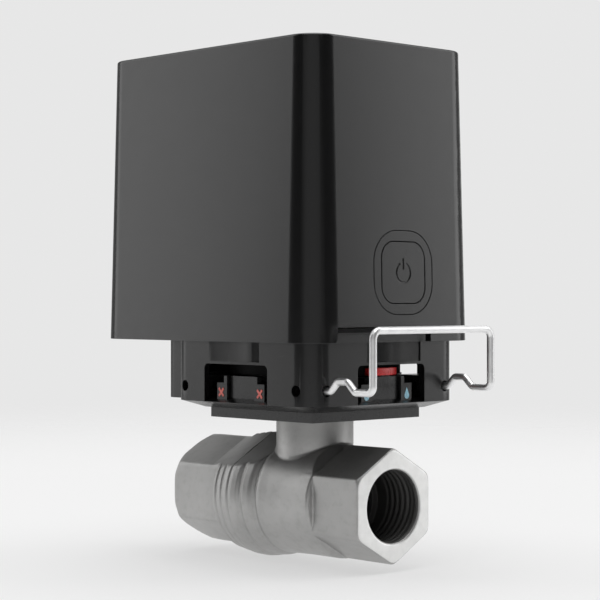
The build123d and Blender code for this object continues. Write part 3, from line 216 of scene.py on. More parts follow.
def turned(name, color, rough=0.28, axis="Z", centre=(0, 0), tint=0.12, rings=1.6, dark=None):
    """Turned metal: fine rings round an axis, small pits and slight tarnish."""
    g = Graph(name)
    x, y, z = g.axes()
    a, b = {"Z": (x, y), "X": (y, z), "Y": (x, z)}[axis]
    ra = g.math("SUBTRACT", a, centre[0])
    rb = g.math("SUBTRACT", b, centre[1])
    r = g.math("SQRT", g.math("ADD", g.math("MULTIPLY", ra, ra), g.math("MULTIPLY", rb, rb)))
    ring = g.math("SINE", g.math("MULTIPLY", r, 6.28 * rings))
    tarnish = g.noise(0.16, 5.0, 0.6)
    base = g.mix(g.span(tarnish, 0.35, 0.75, 0.0, 1.0), color, [c * (1 - tint) for c in (dark or color)])
    rr = g.math("ADD", g.span(tarnish, 0.3, 0.8, rough - 0.05, rough + 0.09), g.math("MULTIPLY", ring, 0.02))
    n = g.bump(ring, 0.004, 0.8)
    n = g.bump(g.noise(3.0, 3.0), 0.01, 0.5, n)
    g.set(color=base, rough=rr, metal=1.0, normal=n)
    return g.mat


def plated_casting(name, mouth_x, mouth_sign):
    """Satin nickel on a forged brass body: soft orange-peel, faint forging marks, a bright faced end, and painted shade
    inside the port.
    """
    g = Graph(name)
    x, y, z = g.axes()
    rad = g.math("SQRT", g.math("ADD", g.math("MULTIPLY", y, y), g.math("MULTIPLY", z, z)))
    cloud = g.noise(0.07, 4.0, 0.6)
    blot = g.noise(0.55, 4.0, 0.6)
    fine = g.noise(4.5, 3.0, 0.6)
    base = g.mix(g.span(cloud, 0.3, 0.72, 0.0, 1.0), (0.50, 0.497, 0.49), (0.44, 0.438, 0.432))
    base = g.mix(g.span(blot, 0.5, 0.8, 0.0, 0.5), base, (0.36, 0.356, 0.345))
    rough = g.math("ADD", g.span(cloud, 0.3, 0.7, 0.45, 0.50), g.span(fine, 0.3, 0.7, -0.03, 0.03))
    # faced end: turning rings, brighter and smoother
    depth = g.math("MULTIPLY", g.math("SUBTRACT", x, mouth_x), mouth_sign)  # 0 at the mouth, negative inside
    faced = g.math("MULTIPLY", g.span(depth, -0.12, -0.05, 0.0, 1.0), g.span(rad, 9.2, 9.35, 0.0, 1.0))
    ring = g.math("SINE", g.math("MULTIPLY", rad, 6.28 * 2.6))
    bright = g.mix(g.span(g.noise(0.4, 4.0), 0.3, 0.7, 0.0, 1.0), (0.88, 0.88, 0.87), (0.80, 0.80, 0.79))
    base = g.mix(faced, base, bright)
    rough = g.math("ADD", g.math("MULTIPLY", rough, g.math("SUBTRACT", 1.0, g.math("MULTIPLY", faced, 0.2))), g.math("MULTIPLY", ring, g.math("MULTIPLY", faced, 0.02)))
    # port: painted shade, dark from about 1.5 mm inside the mouth and darker with depth, and rougher there
    port = g.math("MULTIPLY", g.span(rad, 10.9, 10.55, 0.0, 1.0), g.span(depth, -1.35, -1.65, 0.0, 1.0))
    port_painted_shade = g.mix(g.span(depth, -2.0, -12.0, 0.0, 1.0), (0.155, 0.153, 0.149), (0.115, 0.113, 0.110))
    base = g.mix(port, base, port_painted_shade)
    # painted shade: a little darker up the neck, under the housing
    base = g.mix(g.span(z, 14.0, 17.0, 0.0, 0.30), base, (0.20, 0.198, 0.193))
    rough = g.math("MAXIMUM", rough, g.math("MULTIPLY", port, 0.68))
    n = g.bump(g.noise(1.4, 3.0, 0.55), 0.03, 0.55)
    n = g.bump(fine, 0.008, 0.8, n)
    n = g.bump(g.math("MULTIPLY", ring, faced), 0.006, 0.8, n)
    g.set(color=base, rough=rough, metal=1.0, normal=n)
    return g.mat


def spring_wire(name):
    """Polished spring steel wire with faint die lines."""
    g = Graph(name)
    lines = g.noise(2.4, 4.0, 0.6, vec=g.stretch(g.obj, (0.18, 3.0, 0.5)))
    spots = g.noise(0.5, 4.0, 0.6)
    base = g.mix(g.span(spots, 0.4, 0.75, 0.0, 1.0), (0.93, 0.93, 0.93), (0.84, 0.84, 0.845))
    n = g.bump(lines, 0.002, 0.6)
    g.set(color=base, rough=g.span(lines, 0.3, 0.7, 0.36, 0.44), metal=1.0, normal=n)
    return g.mat


def rubber(name, color=(0.012, 0.012, 0.012)):
    g = Graph(name)
    n1 = g.noise(1.8, 4.0, 0.6)
    g.set(color=g.mix(g.span(n1, 0.3, 0.7, 0, 1), color, [c * 1.8 for c in color]), rough=g.span(n1, 0.3, 0.7, 0.62, 0.78), normal=g.bump(g.noise(8.0, 2.0), 0.01, 0.8))
    return g.mat


def circuit_board(name):
    """Solder mask over copper tracks, with bare pads."""
    g = Graph(name)
    x, y, z = g.axes()
    cell = g.t.nodes.new("ShaderNodeTexBrick")
    g.link(g.stretch(g.obj, (1.0, 1.0, 1.0)), cell.inputs["Vector"])
    cell.inputs["Scale"].default_value = 0.6
    cell.inputs["Mortar Size"].default_value = 0.04
    cell.inputs["Color1"].default_value = (0.0, 0.0, 0.0, 1)
    cell.inputs["Color2"].default_value = (1.0, 1.0, 1.0, 1)
    tracks = g.waves(0.45, "Z", distortion=3.0, detail=3.0)
    base = g.mix(g.span(tracks, 0.45, 0.55, 0.0, 1.0), (0.012, 0.085, 0.035), (0.02, 0.14, 0.055))
    base = g.mix(g.span(cell.outputs["Fac"], 0.4, 0.6, 0.0, 0.5), base, (0.25, 0.24, 0.18))
    g.set(color=base, rough=g.span(tracks, 0.3, 0.7, 0.28, 0.4), normal=g.bump(tracks, 0.03, 0.5), coat=0.2)
    return g.mat


def cell_film(name):
    """Plain battery sleeve: shrunk film with a light band, no lettering."""
    g = Graph(name)
    x, y, z = g.axes()
    crinkle = g.noise(0.9, 5.0, 0.6, vec=g.stretch(g.obj, (1.0, 1.0, 0.25)))
    band = g.math("MULTIPLY", g.span(z, 94.9, 95.1, 0.0, 1.0), g.span(z, 102.6, 102.4, 0.0, 1.0))
    base = g.mix(band, (0.035, 0.085, 0.22), (0.62, 0.64, 0.66))
    ends = g.span(z, 102.8, 103.0, 0.0, 1.0)
    base = g.mix(ends, base, (0.6, 0.6, 0.6))
    g.set(color=base, rough=g.span(crinkle, 0.3, 0.7, 0.22, 0.34), metal=ends, normal=g.bump(crinkle, 0.03, 0.5), coat=0.15)
    return g.mat


# ------------------------------------------------------------------ materials

COVER = moulded("cover_plastic_satin", (0.0060, 0.0060, 0.0062), rough=0.23, grain=0.0022, wear=0.35)
BUTTON = moulded("button_plastic_satin", (0.0064, 0.0064, 0.0066), rough=0.25, grain=0.0022, wear=0.25)
BASE = moulded("base_plastic_satin", (0.0050, 0.0050, 0.0052), rough=0.25, grain=0.0020, wear=0.25)
MOUNT = moulded("mount_plastic_satin", (0.0060, 0.0060, 0.0062), rough=0.28, grain=0.0020, wear=0.22)
DRUM = moulded("drum_plastic_black", (0.0022, 0.0022, 0.0023), rough=0.72, grain=0.012, spec=0.12)
INNER = moulded("inner_plastic_dark", (0.03, 0.03, 0.032), rough=0.5, grain=0.008)
ACETAL = moulded("acetal_natural", (0.78, 0.76, 0.70), rough=0.4, grain=0.004, spread=0.03)
PTFE = moulded("ptfe_white", (0.82, 0.82, 0.80), rough=0.5, grain=0.004, spread=0.03)
RED = printed("mark_ink_red", (0.80, 0.135, 0.11), light=(0.92, 0.26, 0.22), rough=0.4)
BLUE = printed("mark_ink_blue", (0.22, 0.62, 0.82), light=(0.62, 0.86, 0.95), rough=0.45)
BAND = printed("band_red_gloss", (0.60, 0.012, 0.015), light=(0.75, 0.03, 0.03), rough=0.28)
LENS = printed("lens_pale", (0.7, 0.82, 0.7), rough=0.2)
NICKEL_OUT = plated_casting("nickel_plate_body", STEM_X + 29.1, 1.0)
NICKEL_IN = plated_casting("nickel_plate_adapter", 0.0, -1.0)
WIRE = spring_wire("spring_steel_wire")
RUBBER = rubber("seal_rubber_black")
BRASS = turned("brass_turned", (0.66, 0.47, 0.20), rough=0.26, centre=(STEM_X, 0))
CHROME = turned("chrome_ball", (0.78, 0.78, 0.79), rough=0.10, axis="X", centre=(0, 0), rings=3.0, tint=0.05)
BRONZE = turned("bronze_sintered", (0.45, 0.27, 0.12), rough=0.42, centre=(STEM_X, 0), tint=0.25)
STEEL = turned("steel_screws", (0.56, 0.56, 0.57), rough=0.3, centre=(STEM_X - 48, 0), tint=0.15)
CONTACT = turned("contact_plated", (0.74, 0.70, 0.58), rough=0.25, centre=(STEM_X, 0), tint=0.1)
BOARD = circuit_board("board_green")
FILM = cell_film("cell_sleeve")

LOOKS = {
    COVER: ["cover"],
    BUTTON: ["button_ring", "power_button"],
    BASE: ["base_housing"],
    MOUNT: ["valve_mount_adapter"],
    DRUM: ["indicator_drum"],
    RED: ["closed_marks"],
    BLUE: ["open_marks"],
    BAND: ["indicator_bands"],
    WIRE: ["retaining_clip"],
    NICKEL_OUT: ["valve_body"],
    NICKEL_IN: ["end_adapter"],
    BRASS: ["stem", "mount_nut", "drive_coupling"],
    CHROME: ["ball"],
    PTFE: ["seat_inlet", "seat_outlet", "thrust_washer"],
    RUBBER: ["adapter_seal", "stem_orings", "drive_seal", "cover_gasket"],
    STEEL: ["cover_screws", "idler_axle", "gearbox_screws", "motor_screws", "motor_shaft", "battery_lid_screw", "motor_can", "radio_module"],
    BRONZE: ["drive_bushing", "output_bushing", "motor_gearbox", "motor_pinion"],
    ACETAL: ["output_gear", "idler_gear", "limit_cam"],
    INNER: ["gearbox_plate", "limit_switch_open", "limit_switch_closed", "battery_holder", "battery_lid", "board_components", "tact_switch", "switch_plunger"],
    FILM: ["battery_cell_1", "battery_cell_2", "battery_cell_3", "battery_cell_4"],
    CONTACT: ["battery_contacts_lower", "battery_contacts_upper"],
    BOARD: ["main_board"],
    LENS: ["status_led"],
}
BODY_OF = {n: b for b, names in frame["record"]["behaviour"]["bodies"].items() for n in names}
LOOK_OF = {}
for mat, names in LOOKS.items():
    for n in names:
        LOOK_OF[n] = mat
        ob = NODES[n]
        if not ob.material_slots:
            ob.data.materials.append(mat)
        for s in ob.material_slots:
            s.material = mat
missing = sorted(set(NODES) - set(LOOK_OF))
if missing:
    raise RuntimeError(f"no look for {missing}")


# ------------------------------------------------------------------ mesh helpers


def add_object(name, mesh, node, mat=None):
    ob = bpy.data.objects.new(name, mesh)
    bpy.context.scene.collection.objects.link(ob)
    mesh.materials.clear()
    mesh.materials.append(mat or LOOK_OF[node])
    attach(ob, BODY_OF[node])
    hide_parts(node)
    return ob


def baked(ob):
    """The object's mesh with its modifiers applied."""
    bpy.context.view_layer.update()
    dg = bpy.context.evaluated_depsgraph_get()
    mesh = bpy.data.meshes.new_from_object(ob.evaluated_get(dg), depsgraph=dg)
    ob.modifiers.clear()
    old = ob.data
    ob.data = mesh
    bpy.data.meshes.remove(old)
    return ob


def soften(node, width=0.18, segments=2, angle=28.0, name=None):
    """A copy of a node's mesh with every outside edge rounded, as a moulded or turned piece has them."""
    mesh = bpy.data.meshes.new(name or node + "_shell")
    bm = bmesh.new()
    bm.from_mesh(NODES[node].data)
    bmesh.ops.remove_doubles(bm, verts=bm.verts, dist=1.5e-6)
    bmesh.ops.dissolve_limit(bm, angle_limit=math.radians(0.5), verts=bm.verts, edges=bm.edges)
    for layer in list(bm.loops.layers.uv):
        bm.loops.layers.uv.remove(layer)
    for f in bm.faces:
        f.smooth = True
    bm.to_mesh(mesh)
    bm.free()
    ob = bpy.data.objects.new(mesh.name, mesh)
    bpy.context.scene.collection.objects.link(ob)
    mod = ob.modifiers.new("round", "BEVEL")
    mod.width = width * MM
    mod.segments = segments
    mod.limit_method = "ANGLE"
    mod.angle_limit = math.radians(angle)
    mod.use_clamp_overlap = True
    mod.miter_outer = "MITER_ARC"
    mod.harden_normals = False
    wn = ob.modifiers.new("weights", "WEIGHTED_NORMAL")
    wn.mode = "FACE_AREA"
    wn.weight = 80
    wn.keep_sharp = False
    baked(ob)
    ob.data.materials.clear()
    ob.data.materials.append(LOOK_OF[node])
    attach(ob, BODY_OF[node])
    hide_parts(node)
    return ob


def smin(a, b, k):
    h = np.clip(0.5 + 0.5 * (b - a) / k, 0, 1)
    return b * (1 - h) + a * h - k * h * (1 - h)


def smax(a, b, k):
    return -smin(-a, -b, k)


def soft_profile(points, sigma=0.12, step=0.03):
    """A polyline radius(x), with its corners softened, as a function."""
    px, pr = np.array([p[0] for p in points], float), np.array([p[1] for p in points], float)
    xs = np.arange(px[0] - 1, px[-1] + 1 + step, step)
    rs = np.interp(xs, px, pr)
    k = np.exp(-0.5 * (np.arange(-int(4 * sigma / step), int(4 * sigma / step) + 1) * step / sigma) ** 2)
    pad = len(k) // 2
    rs = np.convolve(np.pad(rs, pad, mode="edge"), k / k.sum(), mode="valid")
    return lambda x: np.interp(x, xs, rs)


def hexagon(y, z, k):
    """Distance outside a hexagon 26 across its flats, flats towards +Y and -Y, edges rounded by k."""
    a = np.abs(y)
    b = np.abs(0.5 * y + 0.8660254 * z)
    c = np.abs(0.5 * y - 0.8660254 * z)
    return smax(smax(a, b, k), c, k) - 13.0


def thread(x, theta, start, end, fade=1.3):
    """How far the G1/2 internal thread is cut below its crests, from its mouth at start to its last turn at end."""
    turn = x / 1.814 - theta / (2 * np.pi)
    lo, hi = min(start, end), max(start, end)
    w = np.clip((x - lo) / fade, 0, 1) * np.clip((hi - x) / fade, 0, 1)
    w = w * w * (3 - 2 * w)
    return 1.10 * (0.5 + 0.5 * np.cos(2 * np.pi * turn)) * w


def surface_nets(f, lo, hi, step):
    """Quads round the zero level of f, one vertex for each cell that it crosses, then moved on to it exactly."""
    ax = [np.arange(lo[i], hi[i] + step, step) for i in range(3)]
    X, Y, Z = np.meshgrid(*ax, indexing="ij")
    V = f(X, Y, Z)
    inside = V < 0
    n = [len(a) - 1 for a in ax]
    corner = lambda A, i, j, k: A[i : i + n[0], j : j + n[1], k : k + n[2]]
    count = sum(corner(inside, i, j, k).astype(np.int8) for i in (0, 1) for j in (0, 1) for k in (0, 1))
    ci, cj, ck = np.nonzero((count > 0) & (count < 8))
    index = np.full(n, -1, np.int64)
    index[ci, cj, ck] = np.arange(len(ci))
    total, hits = np.zeros((len(ci), 3)), np.zeros(len(ci))
    corners = [(i, j, k) for i in (0, 1) for j in (0, 1) for k in (0, 1)]
    for a in corners:
        for axis in range(3):
            if a[axis]:
                continue
            b = list(a)
            b[axis] = 1
            va = V[ci + a[0], cj + a[1], ck + a[2]]
            vb = V[ci + b[0], cj + b[1], ck + b[2]]
            cross = (va < 0) != (vb < 0)
            t = np.where(cross, va / np.where(cross, va - vb, 1), 0)
            p = np.stack([ci + a[0], cj + a[1], ck + a[2]], 1).astype(float)
            p[:, axis] += t
            total += p * cross[:, None]
            hits += cross
    verts = np.array([ax[i][0] for i in range(3)]) + total / hits[:, None] * step
    quads = []
    for axis in range(3):
        u, v = (axis + 1) % 3, (axis + 2) % 3
        s = [slice(1, -1)] * 3
        s0, s1 = list(s), list(s)
        s0[axis], s1[axis] = slice(0, n[axis]), slice(1, n[axis] + 1)
        A, B = inside[tuple(s0)], inside[tuple(s1)]
        for flip, which in ((False, A & ~B), (True, ~A & B)):
            e = np.stack(np.nonzero(which), 1)
            if not len(e):
                continue
            base = e.copy()
            base[:, u] += 1
            base[:, v] += 1
            ring = []
            for du, dv in ((-1, -1), (0, -1), (0, 0), (-1, 0)):
                c = base.copy()
                c[:, u] += du
                c[:, v] += dv
                ring.append(index[c[:, 0], c[:, 1], c[:, 2]])
            q = np.stack(ring[::-1] if flip else ring, 1)
            quads.append(q)
    quads = np.concatenate(quads)
    h = 0.02

    def gradient(P):
        g = np.empty_like(P)
        for i in range(3):
            d = np.zeros(3)
            d[i] = h
            a, b = P + d, P - d
            g[:, i] = (f(a[:, 0], a[:, 1], a[:, 2]) - f(b[:, 0], b[:, 1], b[:, 2])) / (2 * h)
        return g

    start = verts.copy()
    for _ in range(5):
        g = gradient(verts)
        move = (f(verts[:, 0], verts[:, 1], verts[:, 2]) / np.maximum((g * g).sum(1), 0.05))[:, None] * g
        size = np.linalg.norm(move, axis=1, keepdims=True)
        verts = verts - move * np.minimum(1, 0.5 * step / np.maximum(size, 1e-9))
        drift = verts - start
        size = np.linalg.norm(drift, axis=1, keepdims=True)
        verts = start + drift * np.minimum(1, step / np.maximum(size, 1e-9))
    g = gradient(verts)
    return verts, quads, g / np.maximum(np.linalg.norm(g, axis=1, keepdims=True), 1e-9)


def mesh_from(name, verts_mm, faces, normals=None):
    mesh = bpy.data.meshes.new(name)
    v = np.asarray(verts_mm, float) * MM
    mesh.vertices.add(len(v))
    mesh.vertices.foreach_set("co", v.ravel())
    faces = np.asarray(faces)
    mesh.loops.add(faces.size)
    mesh.loops.foreach_set("vertex_index", faces.ravel().astype(np.int32))
    mesh.polygons.add(len(faces))
    mesh.polygons.foreach_set("loop_start", (np.arange(len(faces)) * faces.shape[1]).astype(np.int32))
    mesh.polygons.foreach_set("loop_total", np.full(len(faces), faces.shape[1], np.int32))
    mesh.update(calc_edges=True)
    mesh.validate()
    mesh.polygons.foreach_set("use_smooth", np.ones(len(mesh.polygons), bool))
    if normals is not None:
        mesh.normals_split_custom_set_from_vertices([tuple(x) for x in normals])
    mesh.update()
    return mesh


# ------------------------------------------------------------------ valve body

barrel = soft_profile(
    [
        (-18.0, 16.48), (-16.5, 16.48), (-16.2, 16.78), (-15.0, 16.78), (-13.2, 16.55), (-12.7, 16.05), (-11.8, 15.9), (-11.2, 16.2), (-9.2, 15.95),
        (-8.1, 15.55), (-7.7, 15.0), (-7.1, 14.85), (-6.6, 15.15), (-5.6, 15.15), (-3.0, 15.0), (2.0, 14.85), (12.1, 14.85), (12.6, 14.6),
        (12.9, 14.1), (12.95, 13.0), (13.4, 12.9), (15.0, 12.8),
    ],
    sigma=0.15,
)
hex_ends = soft_profile([(8.0, 14.8), (9.0, 14.82), (13.5, 14.93), (28.5, 15.03), (29.1, 14.4), (31.0, 12.4)], sigma=0.14)
# distance of the two upper flats from the flow axis, where they run out over the rings
flat_x = [-30.0, -27.0, -25.0, -22.0, -19.0, -16.5, -12.0, -8.0, -5.0, -2.0, 8.0, 10.0, 12.7, 20.0]
flat_d = [13.0, 13.0, 13.4, 13.9, 14.3, 14.55, 14.6, 14.7, 14.9, 15.4, 16.6, 15.2, 13.0, 13.0]


def body_shape(x, y, z):
    r = np.sqrt(y * y + z * z)
    q = np.sqrt(x * x + y * y)
    d = smax((r - barrel(x)) * 0.9, -16.5 - x, 0.25)
    upper = 0.5 * np.abs(y) + 0.8660254 * z - np.interp(x, flat_x, flat_d)
    d = smax(d, upper, 0.3)
    d = smax(d, x - 14.4, 0.3)
    h = smax(hexagon(y, z, 0.55), (r - hex_ends(x)) * 0.85, 0.5)
    h = smax(smax(h, x - 29.1, 0.45), 9.0 - x, 0.3)
    d = smin(d, h, 0.4)
    neck = smax(smax(q - 10.24, z - 24.2, 0.3), 6.0 - z, 0.3)
    d = smin(d, neck, 0.6)
    key = smax(smax(np.abs(x), np.abs(y), 0.5) - 7.0, z - 27.5, 0.3)
    key = smax(key, 20.0 - z, 0.3)
    stub = smax(smax(q - 6.85, z - 30.8, 0.3), 20.0 - z, 0.3)
    d = smin(smin(d, key, 0.2), stub, 0.2)
    theta = np.arctan2(z, y)
    port = smax(r - 9.3155 - 0.3 * thread(x, theta, 27.5, 16.4), 14.1 - x, 0.25)
    mouth = r - 9.3155 - np.clip(x - 28.75, 0, None) * 1.0
    port = smin(port, smax(mouth, 28.4 - x, 0.1), 0.15)
    bore = smax(r - 7.5, 9.0 - x, 0.2)
    chamber = smax(r - 12.6, np.abs(x) - 10.6, 0.2)
    left = smax(r - 13.6, x + 10.6, 0.2)
    hollow = smin(smin(port, bore, 0.3), smin(chamber, left, 0.1), 0.1)
    pocket = smax(smax(q - 6.2, z - 14.2, 0.1), 6.0 - z, 0.1)
    hole = smax(q - 4.8, 6.0 - z, 0.1)
    hollow = smin(hollow, smin(pocket, hole, 0.1), 0.1)
    return smax(d, -hollow, 0.3)


v, q, n = surface_nets(body_shape, (-17.3, -17.4, -17.4), (29.9, 17.4, 31.5), 0.32)
v[:, 0] += STEM_X
add_object("valve_body_casting", mesh_from("valve_body_casting", v, q, n), "valve_body")

# ------------------------------------------------------------------ inlet adapter

collar = soft_profile(
    [
        (-34.0, 8.0), (-25.4, 12.7), (-24.2, 14.3), (-23.7, 15.5), (-23.3, 15.9), (-22.3, 16.0), (-22.0, 15.75), (-21.7, 15.75), (-21.4, 16.15),
        (-19.8, 16.4), (-19.5, 16.15), (-19.2, 16.15), (-18.9, 16.5), (-17.4, 16.74), (-16.9, 16.74), (-16.5, 16.5), (-15.0, 16.5),
    ],
    sigma=0.12,
)
inlet_ends = soft_profile([(-45.0, 11.0), (-43.0, 13.3), (-41.3, 14.75), (-38.0, 14.95), (-15.0, 14.95)], sigma=0.14)

TURNS = 240
theta = np.linspace(0, 2 * np.pi, TURNS, endpoint=False)
cy, cz = np.cos(theta), np.sin(theta)
lean = np.maximum(0.5 * np.abs(cy) + 0.8660254 * cz, 1e-3)  # cosine of the angle from the nearer upper flat
others = 13.0 / np.maximum.reduce([np.abs(cy), -0.8660254 * cz + 0.5 * np.abs(cy), np.full_like(cy, 1e-3)])
rows = []
outer_x = np.unique(np.round(np.concatenate([np.arange(-42.75, -41.0, 0.12), np.arange(-41.0, -31.0, 0.4), np.arange(-31.0, -25.0, 0.2), np.arange(-25.0, -16.8, 0.075), np.arange(-16.8, -16.5, 0.05)]), 4))
for x in outer_x[::-1]:
    flats = np.minimum(float(np.interp(x, flat_x, flat_d)) / lean, 40.0)
    across = smin(smin(others, flats, 0.3), np.full_like(cy, float(inlet_ends(x)) - 0.05), 0.45)
    ring = smin(np.full_like(cy, float(collar(x))), flats, 0.35)
    r = smax(across, ring, 0.3)
    rows.append((np.full_like(r, x), r))
edge = rows[-1][1]
for k in range(1, 5):  # rounded outer edge of the mouth's face
    a = math.radians(22.5 * k)
    rows.append((np.full_like(edge, -42.75 - 0.25 * math.sin(a)), edge - 0.25 * (1 - math.cos(a)) - 0.02 * k))
edge = rows[-1][1]
for k in range(1, 5):
    rows.append((np.full_like(edge, -43.0), edge + (9.75 - edge) * k / 4.0))
for k in range(1, 5):
    rows.append((np.full_like(edge, -43.0 + 0.11 * k), np.full_like(edge, 9.75 - 0.1075 * k)))
for x in np.arange(-42.45, -28.0, 0.16):
    rows.append((np.full_like(edge, x), 9.3155 + 0.3 * thread(x, theta, -41.4, -30.3)))
for x, r in ((-28.0, 9.3155), (-28.0, 7.5), (-24.0, 7.5), (-20.0, 7.5), (-16.0, 7.5), (-12.0, 7.5), (-10.6, 7.6), (-10.6, 9.0), (-10.6, 11.0), (-10.6, 13.3), (-10.85, 13.55), (-13.0, 13.55), (-16.2, 13.55), (-16.5, 13.55), (-16.5, 14.2)):
    rows.append((np.full_like(edge, x), np.full_like(edge, r)))
verts = np.concatenate([np.stack([x + STEM_X, r * cy, r * cz], 1) for x, r in rows])
faces = []
m = len(rows)
k = np.arange(TURNS)
for i in range(m):
    a, b = i * TURNS, ((i + 1) % m) * TURNS
    faces.append(np.stack([a + k, b + k, b + (k + 1) % TURNS, a + (k + 1) % TURNS], 1))
adapter = mesh_from("inlet_adapter_turned", verts, np.concatenate(faces))
bm = bmesh.new()
bm.from_mesh(adapter)
bmesh.ops.recalc_face_normals(bm, faces=bm.faces)
bm.to_mesh(adapter)
bm.free()
adapter.set_sharp_from_angle(angle=math.radians(50))
add_object("inlet_adapter_turned", adapter, "end_adapter")

# ------------------------------------------------------------------ retaining clip


def filleted(points, radii, step=0.12):
    """A polyline in space with each inner corner turned into an arc."""
    P = [np.array(p, float) for p in points]
    path = [P[0]]
    for a, b, c, r in zip(P, P[1:], P[2:], radii):
        u, w = (a - b) / np.linalg.norm(a - b), (c - b) / np.linalg.norm(c - b)
        half = math.acos(np.clip(u @ w, -1, 1)) / 2
        centre = b + (u + w) / np.linalg.norm(u + w) * r / math.sin(half)
        start, end = b + u * r / math.tan(half), b + w * r / math.tan(half)
        e0, e1 = start - centre, end - centre
        total = math.acos(np.clip(e0 @ e1 / (r * r), -1, 1))
        n = max(4, int(round(total * r / step)))
        for i in range(n + 1):
            k = i / n
            path.append(centre + (math.sin((1 - k) * total) * e0 + math.sin(k * total) * e1) / math.sin(total))
    path.append(P[-1])
    out = [path[0]]
    for p in path[1:]:
        gap = np.linalg.norm(p - out[-1])
        if gap > 1e-4:
            m = max(1, int(gap / 1.2))
            out += [out[-1] + (p - out[-1]) * i / m for i in range(1, m + 1)] if m > 1 else [p]
    return np.array(out)


foot = [(13.5, 29.9), (28.2, 29.9), (30.7, 32.4), (34.1, 32.4), (36.8, 29.9), (42.8, 29.9), (42.8, 45.05)]
stations = [(x, -21.4, z) for x, z in foot] + [(x, 21.4, z) for x, z in foot[::-1]]
path = filleted(stations, [1.3, 1.3, 1.3, 1.3, 1.7, 2.25, 2.25, 1.7, 1.3, 1.3, 1.3, 1.3])
along = np.gradient(path, axis=0)
along /= np.linalg.norm(along, axis=1, keepdims=True)
across_wire = [np.array([0.0, 1.0, 0.0])]
for i in range(1, len(path)):  # carry the frame along without twist
    v = across_wire[-1] - along[i] * (across_wire[-1] @ along[i])
    across_wire.append(v / np.linalg.norm(v))
across_wire = np.array(across_wire)
third = np.cross(along, across_wire)
AROUND, WIRE_R = 36, 0.947
turn = np.linspace(0, 2 * np.pi, AROUND, endpoint=False)
loops = [(path[0] + along[0] * 0.0, WIRE_R - 0.45, 0), (path[0] + along[0] * 0.06, WIRE_R - 0.22, 0), (path[0] + along[0] * 0.2, WIRE_R - 0.07, 0), (path[0] + along[0] * 0.45, WIRE_R, 0)]
loops += [(path[i], WIRE_R, i) for i in range(1, len(path) - 1)]
e = len(path) - 1
loops += [(path[e] - along[e] * 0.45, WIRE_R, e), (path[e] - along[e] * 0.2, WIRE_R - 0.07, e), (path[e] - along[e] * 0.06, WIRE_R - 0.22, e), (path[e], WIRE_R - 0.45, e)]
verts = np.concatenate([c + r * (np.cos(turn)[:, None] * across_wire[i] + np.sin(turn)[:, None] * third[i]) for c, r, i in loops])
verts = np.concatenate([verts, [loops[0][0], loops[-1][0]]])
verts[:, 0] += STEM_X
k = np.arange(AROUND)
quads = []
for i in range(len(loops) - 1):
    a, b = i * AROUND, (i + 1) * AROUND
    quads.append(np.stack([a + k, a + (k + 1) % AROUND, b + (k + 1) % AROUND, b + k], 1))
bm = bmesh.new()
bv = [bm.verts.new(tuple(p * MM)) for p in verts]
for q in np.concatenate(quads):
    bm.faces.new([bv[i] for i in q])
last = (len(loops) - 1) * AROUND
for i in range(AROUND):
    bm.faces.new([bv[-2], bv[(i + 1) % AROUND], bv[i]])
    bm.faces.new([bv[-1], bv[last + i], bv[last + (i + 1) % AROUND]])
bmesh.ops.recalc_face_normals(bm, faces=bm.faces)
for f in bm.faces:
    f.smooth = True
wire = bpy.data.meshes.new("clip_wire_bent")
bm.to_mesh(wire)
bm.free()
add_object("clip_wire_bent", wire, "retaining_clip")

# ------------------------------------------------------------------ moulded pieces

for node, width, segments in (
    ("cover", 0.16, 2), ("base_housing", 0.16, 2), ("valve_mount_adapter", 0.16, 2), ("indicator_drum", 0.2, 2), 
    ("indicator_bands", 0.2, 2), ("power_button", 0.22, 3), ("button_ring", 0.2, 3), ("cover_screws", 0.15, 2), ("mount_nut", 0.2, 2),
):
    soften(node, width, segments)

# ------------------------------------------------------------------ camera

target = Vector((40.30, -2.89, 52.42)) * MM
azimuth, pitch, distance = math.radians(46.94), math.radians(0.01), 484.78 * MM
back = Vector((math.sin(azimuth) * math.cos(pitch), -math.cos(azimuth) * math.cos(pitch), math.sin(pitch)))
camera = bpy.data.objects.new("camera", bpy.data.cameras.new("camera"))
camera.data.sensor_width = 36.0
camera.data.lens = 1826.86 / 600 * 36.0
camera.data.clip_start, camera.data.clip_end = 0.01, 100
camera.location = target + back * distance
camera.rotation_mode = "QUATERNION"
camera.rotation_quaternion = (-back).to_track_quat("-Z", "Y")
bpy.context.scene.collection.objects.link(camera)
bpy.context.scene.camera = camera

# ------------------------------------------------------------------ floor and light

FLOOR_Z = -16.85 * MM
centre = Vector((0.040, 0.0, 0.05))
bm = bmesh.new()
bmesh.ops.create_grid(bm, x_segments=8, y_segments=8, size=3.0)
mesh = bpy.data.meshes.new("floor")
bm.to_mesh(mesh)
bm.free()
floor = bpy.data.objects.new("floor", mesh)
floor.location = (0.04, 0.0, FLOOR_Z)
bpy.context.scene.collection.objects.link(floor)
g = Graph("floor_pale")
geo = g.t.nodes.new("ShaderNodeNewGeometry")
sep = g.t.nodes.new("ShaderNodeSeparateXYZ")
g.link(geo.outputs["Position"], sep.inputs[0])
dist = g.math("SQRT", g.math("ADD", g.math("MULTIPLY", sep.outputs[0], sep.outputs[0]), g.math("MULTIPLY", sep.outputs[1], sep.outputs[1])))
g.set(color=(0.36, 0.36, 0.36), rough=0.9, spec=0.1, emission=(1.0, 1.0, 1.0), emission_strength=0.52)
clear = g.t.nodes.new("ShaderNodeBsdfTransparent")
fade = g.t.nodes.new("ShaderNodeMixShader")
g.link(g.math("MAXIMUM", g.span(dist, 0.22, 0.75, 0.0, 1.0, smooth=True), geo.outputs["Backfacing"]), fade.inputs[0])
g.link(g.bsdf.outputs[0], fade.inputs[1])
g.link(clear.outputs[0], fade.inputs[2])
g.link(fade.outputs[0], g.out.inputs[0])
mesh.materials.append(g.mat)

FRONT = -43.06  # the side that the camera stands on, in degrees from +X towards +Y


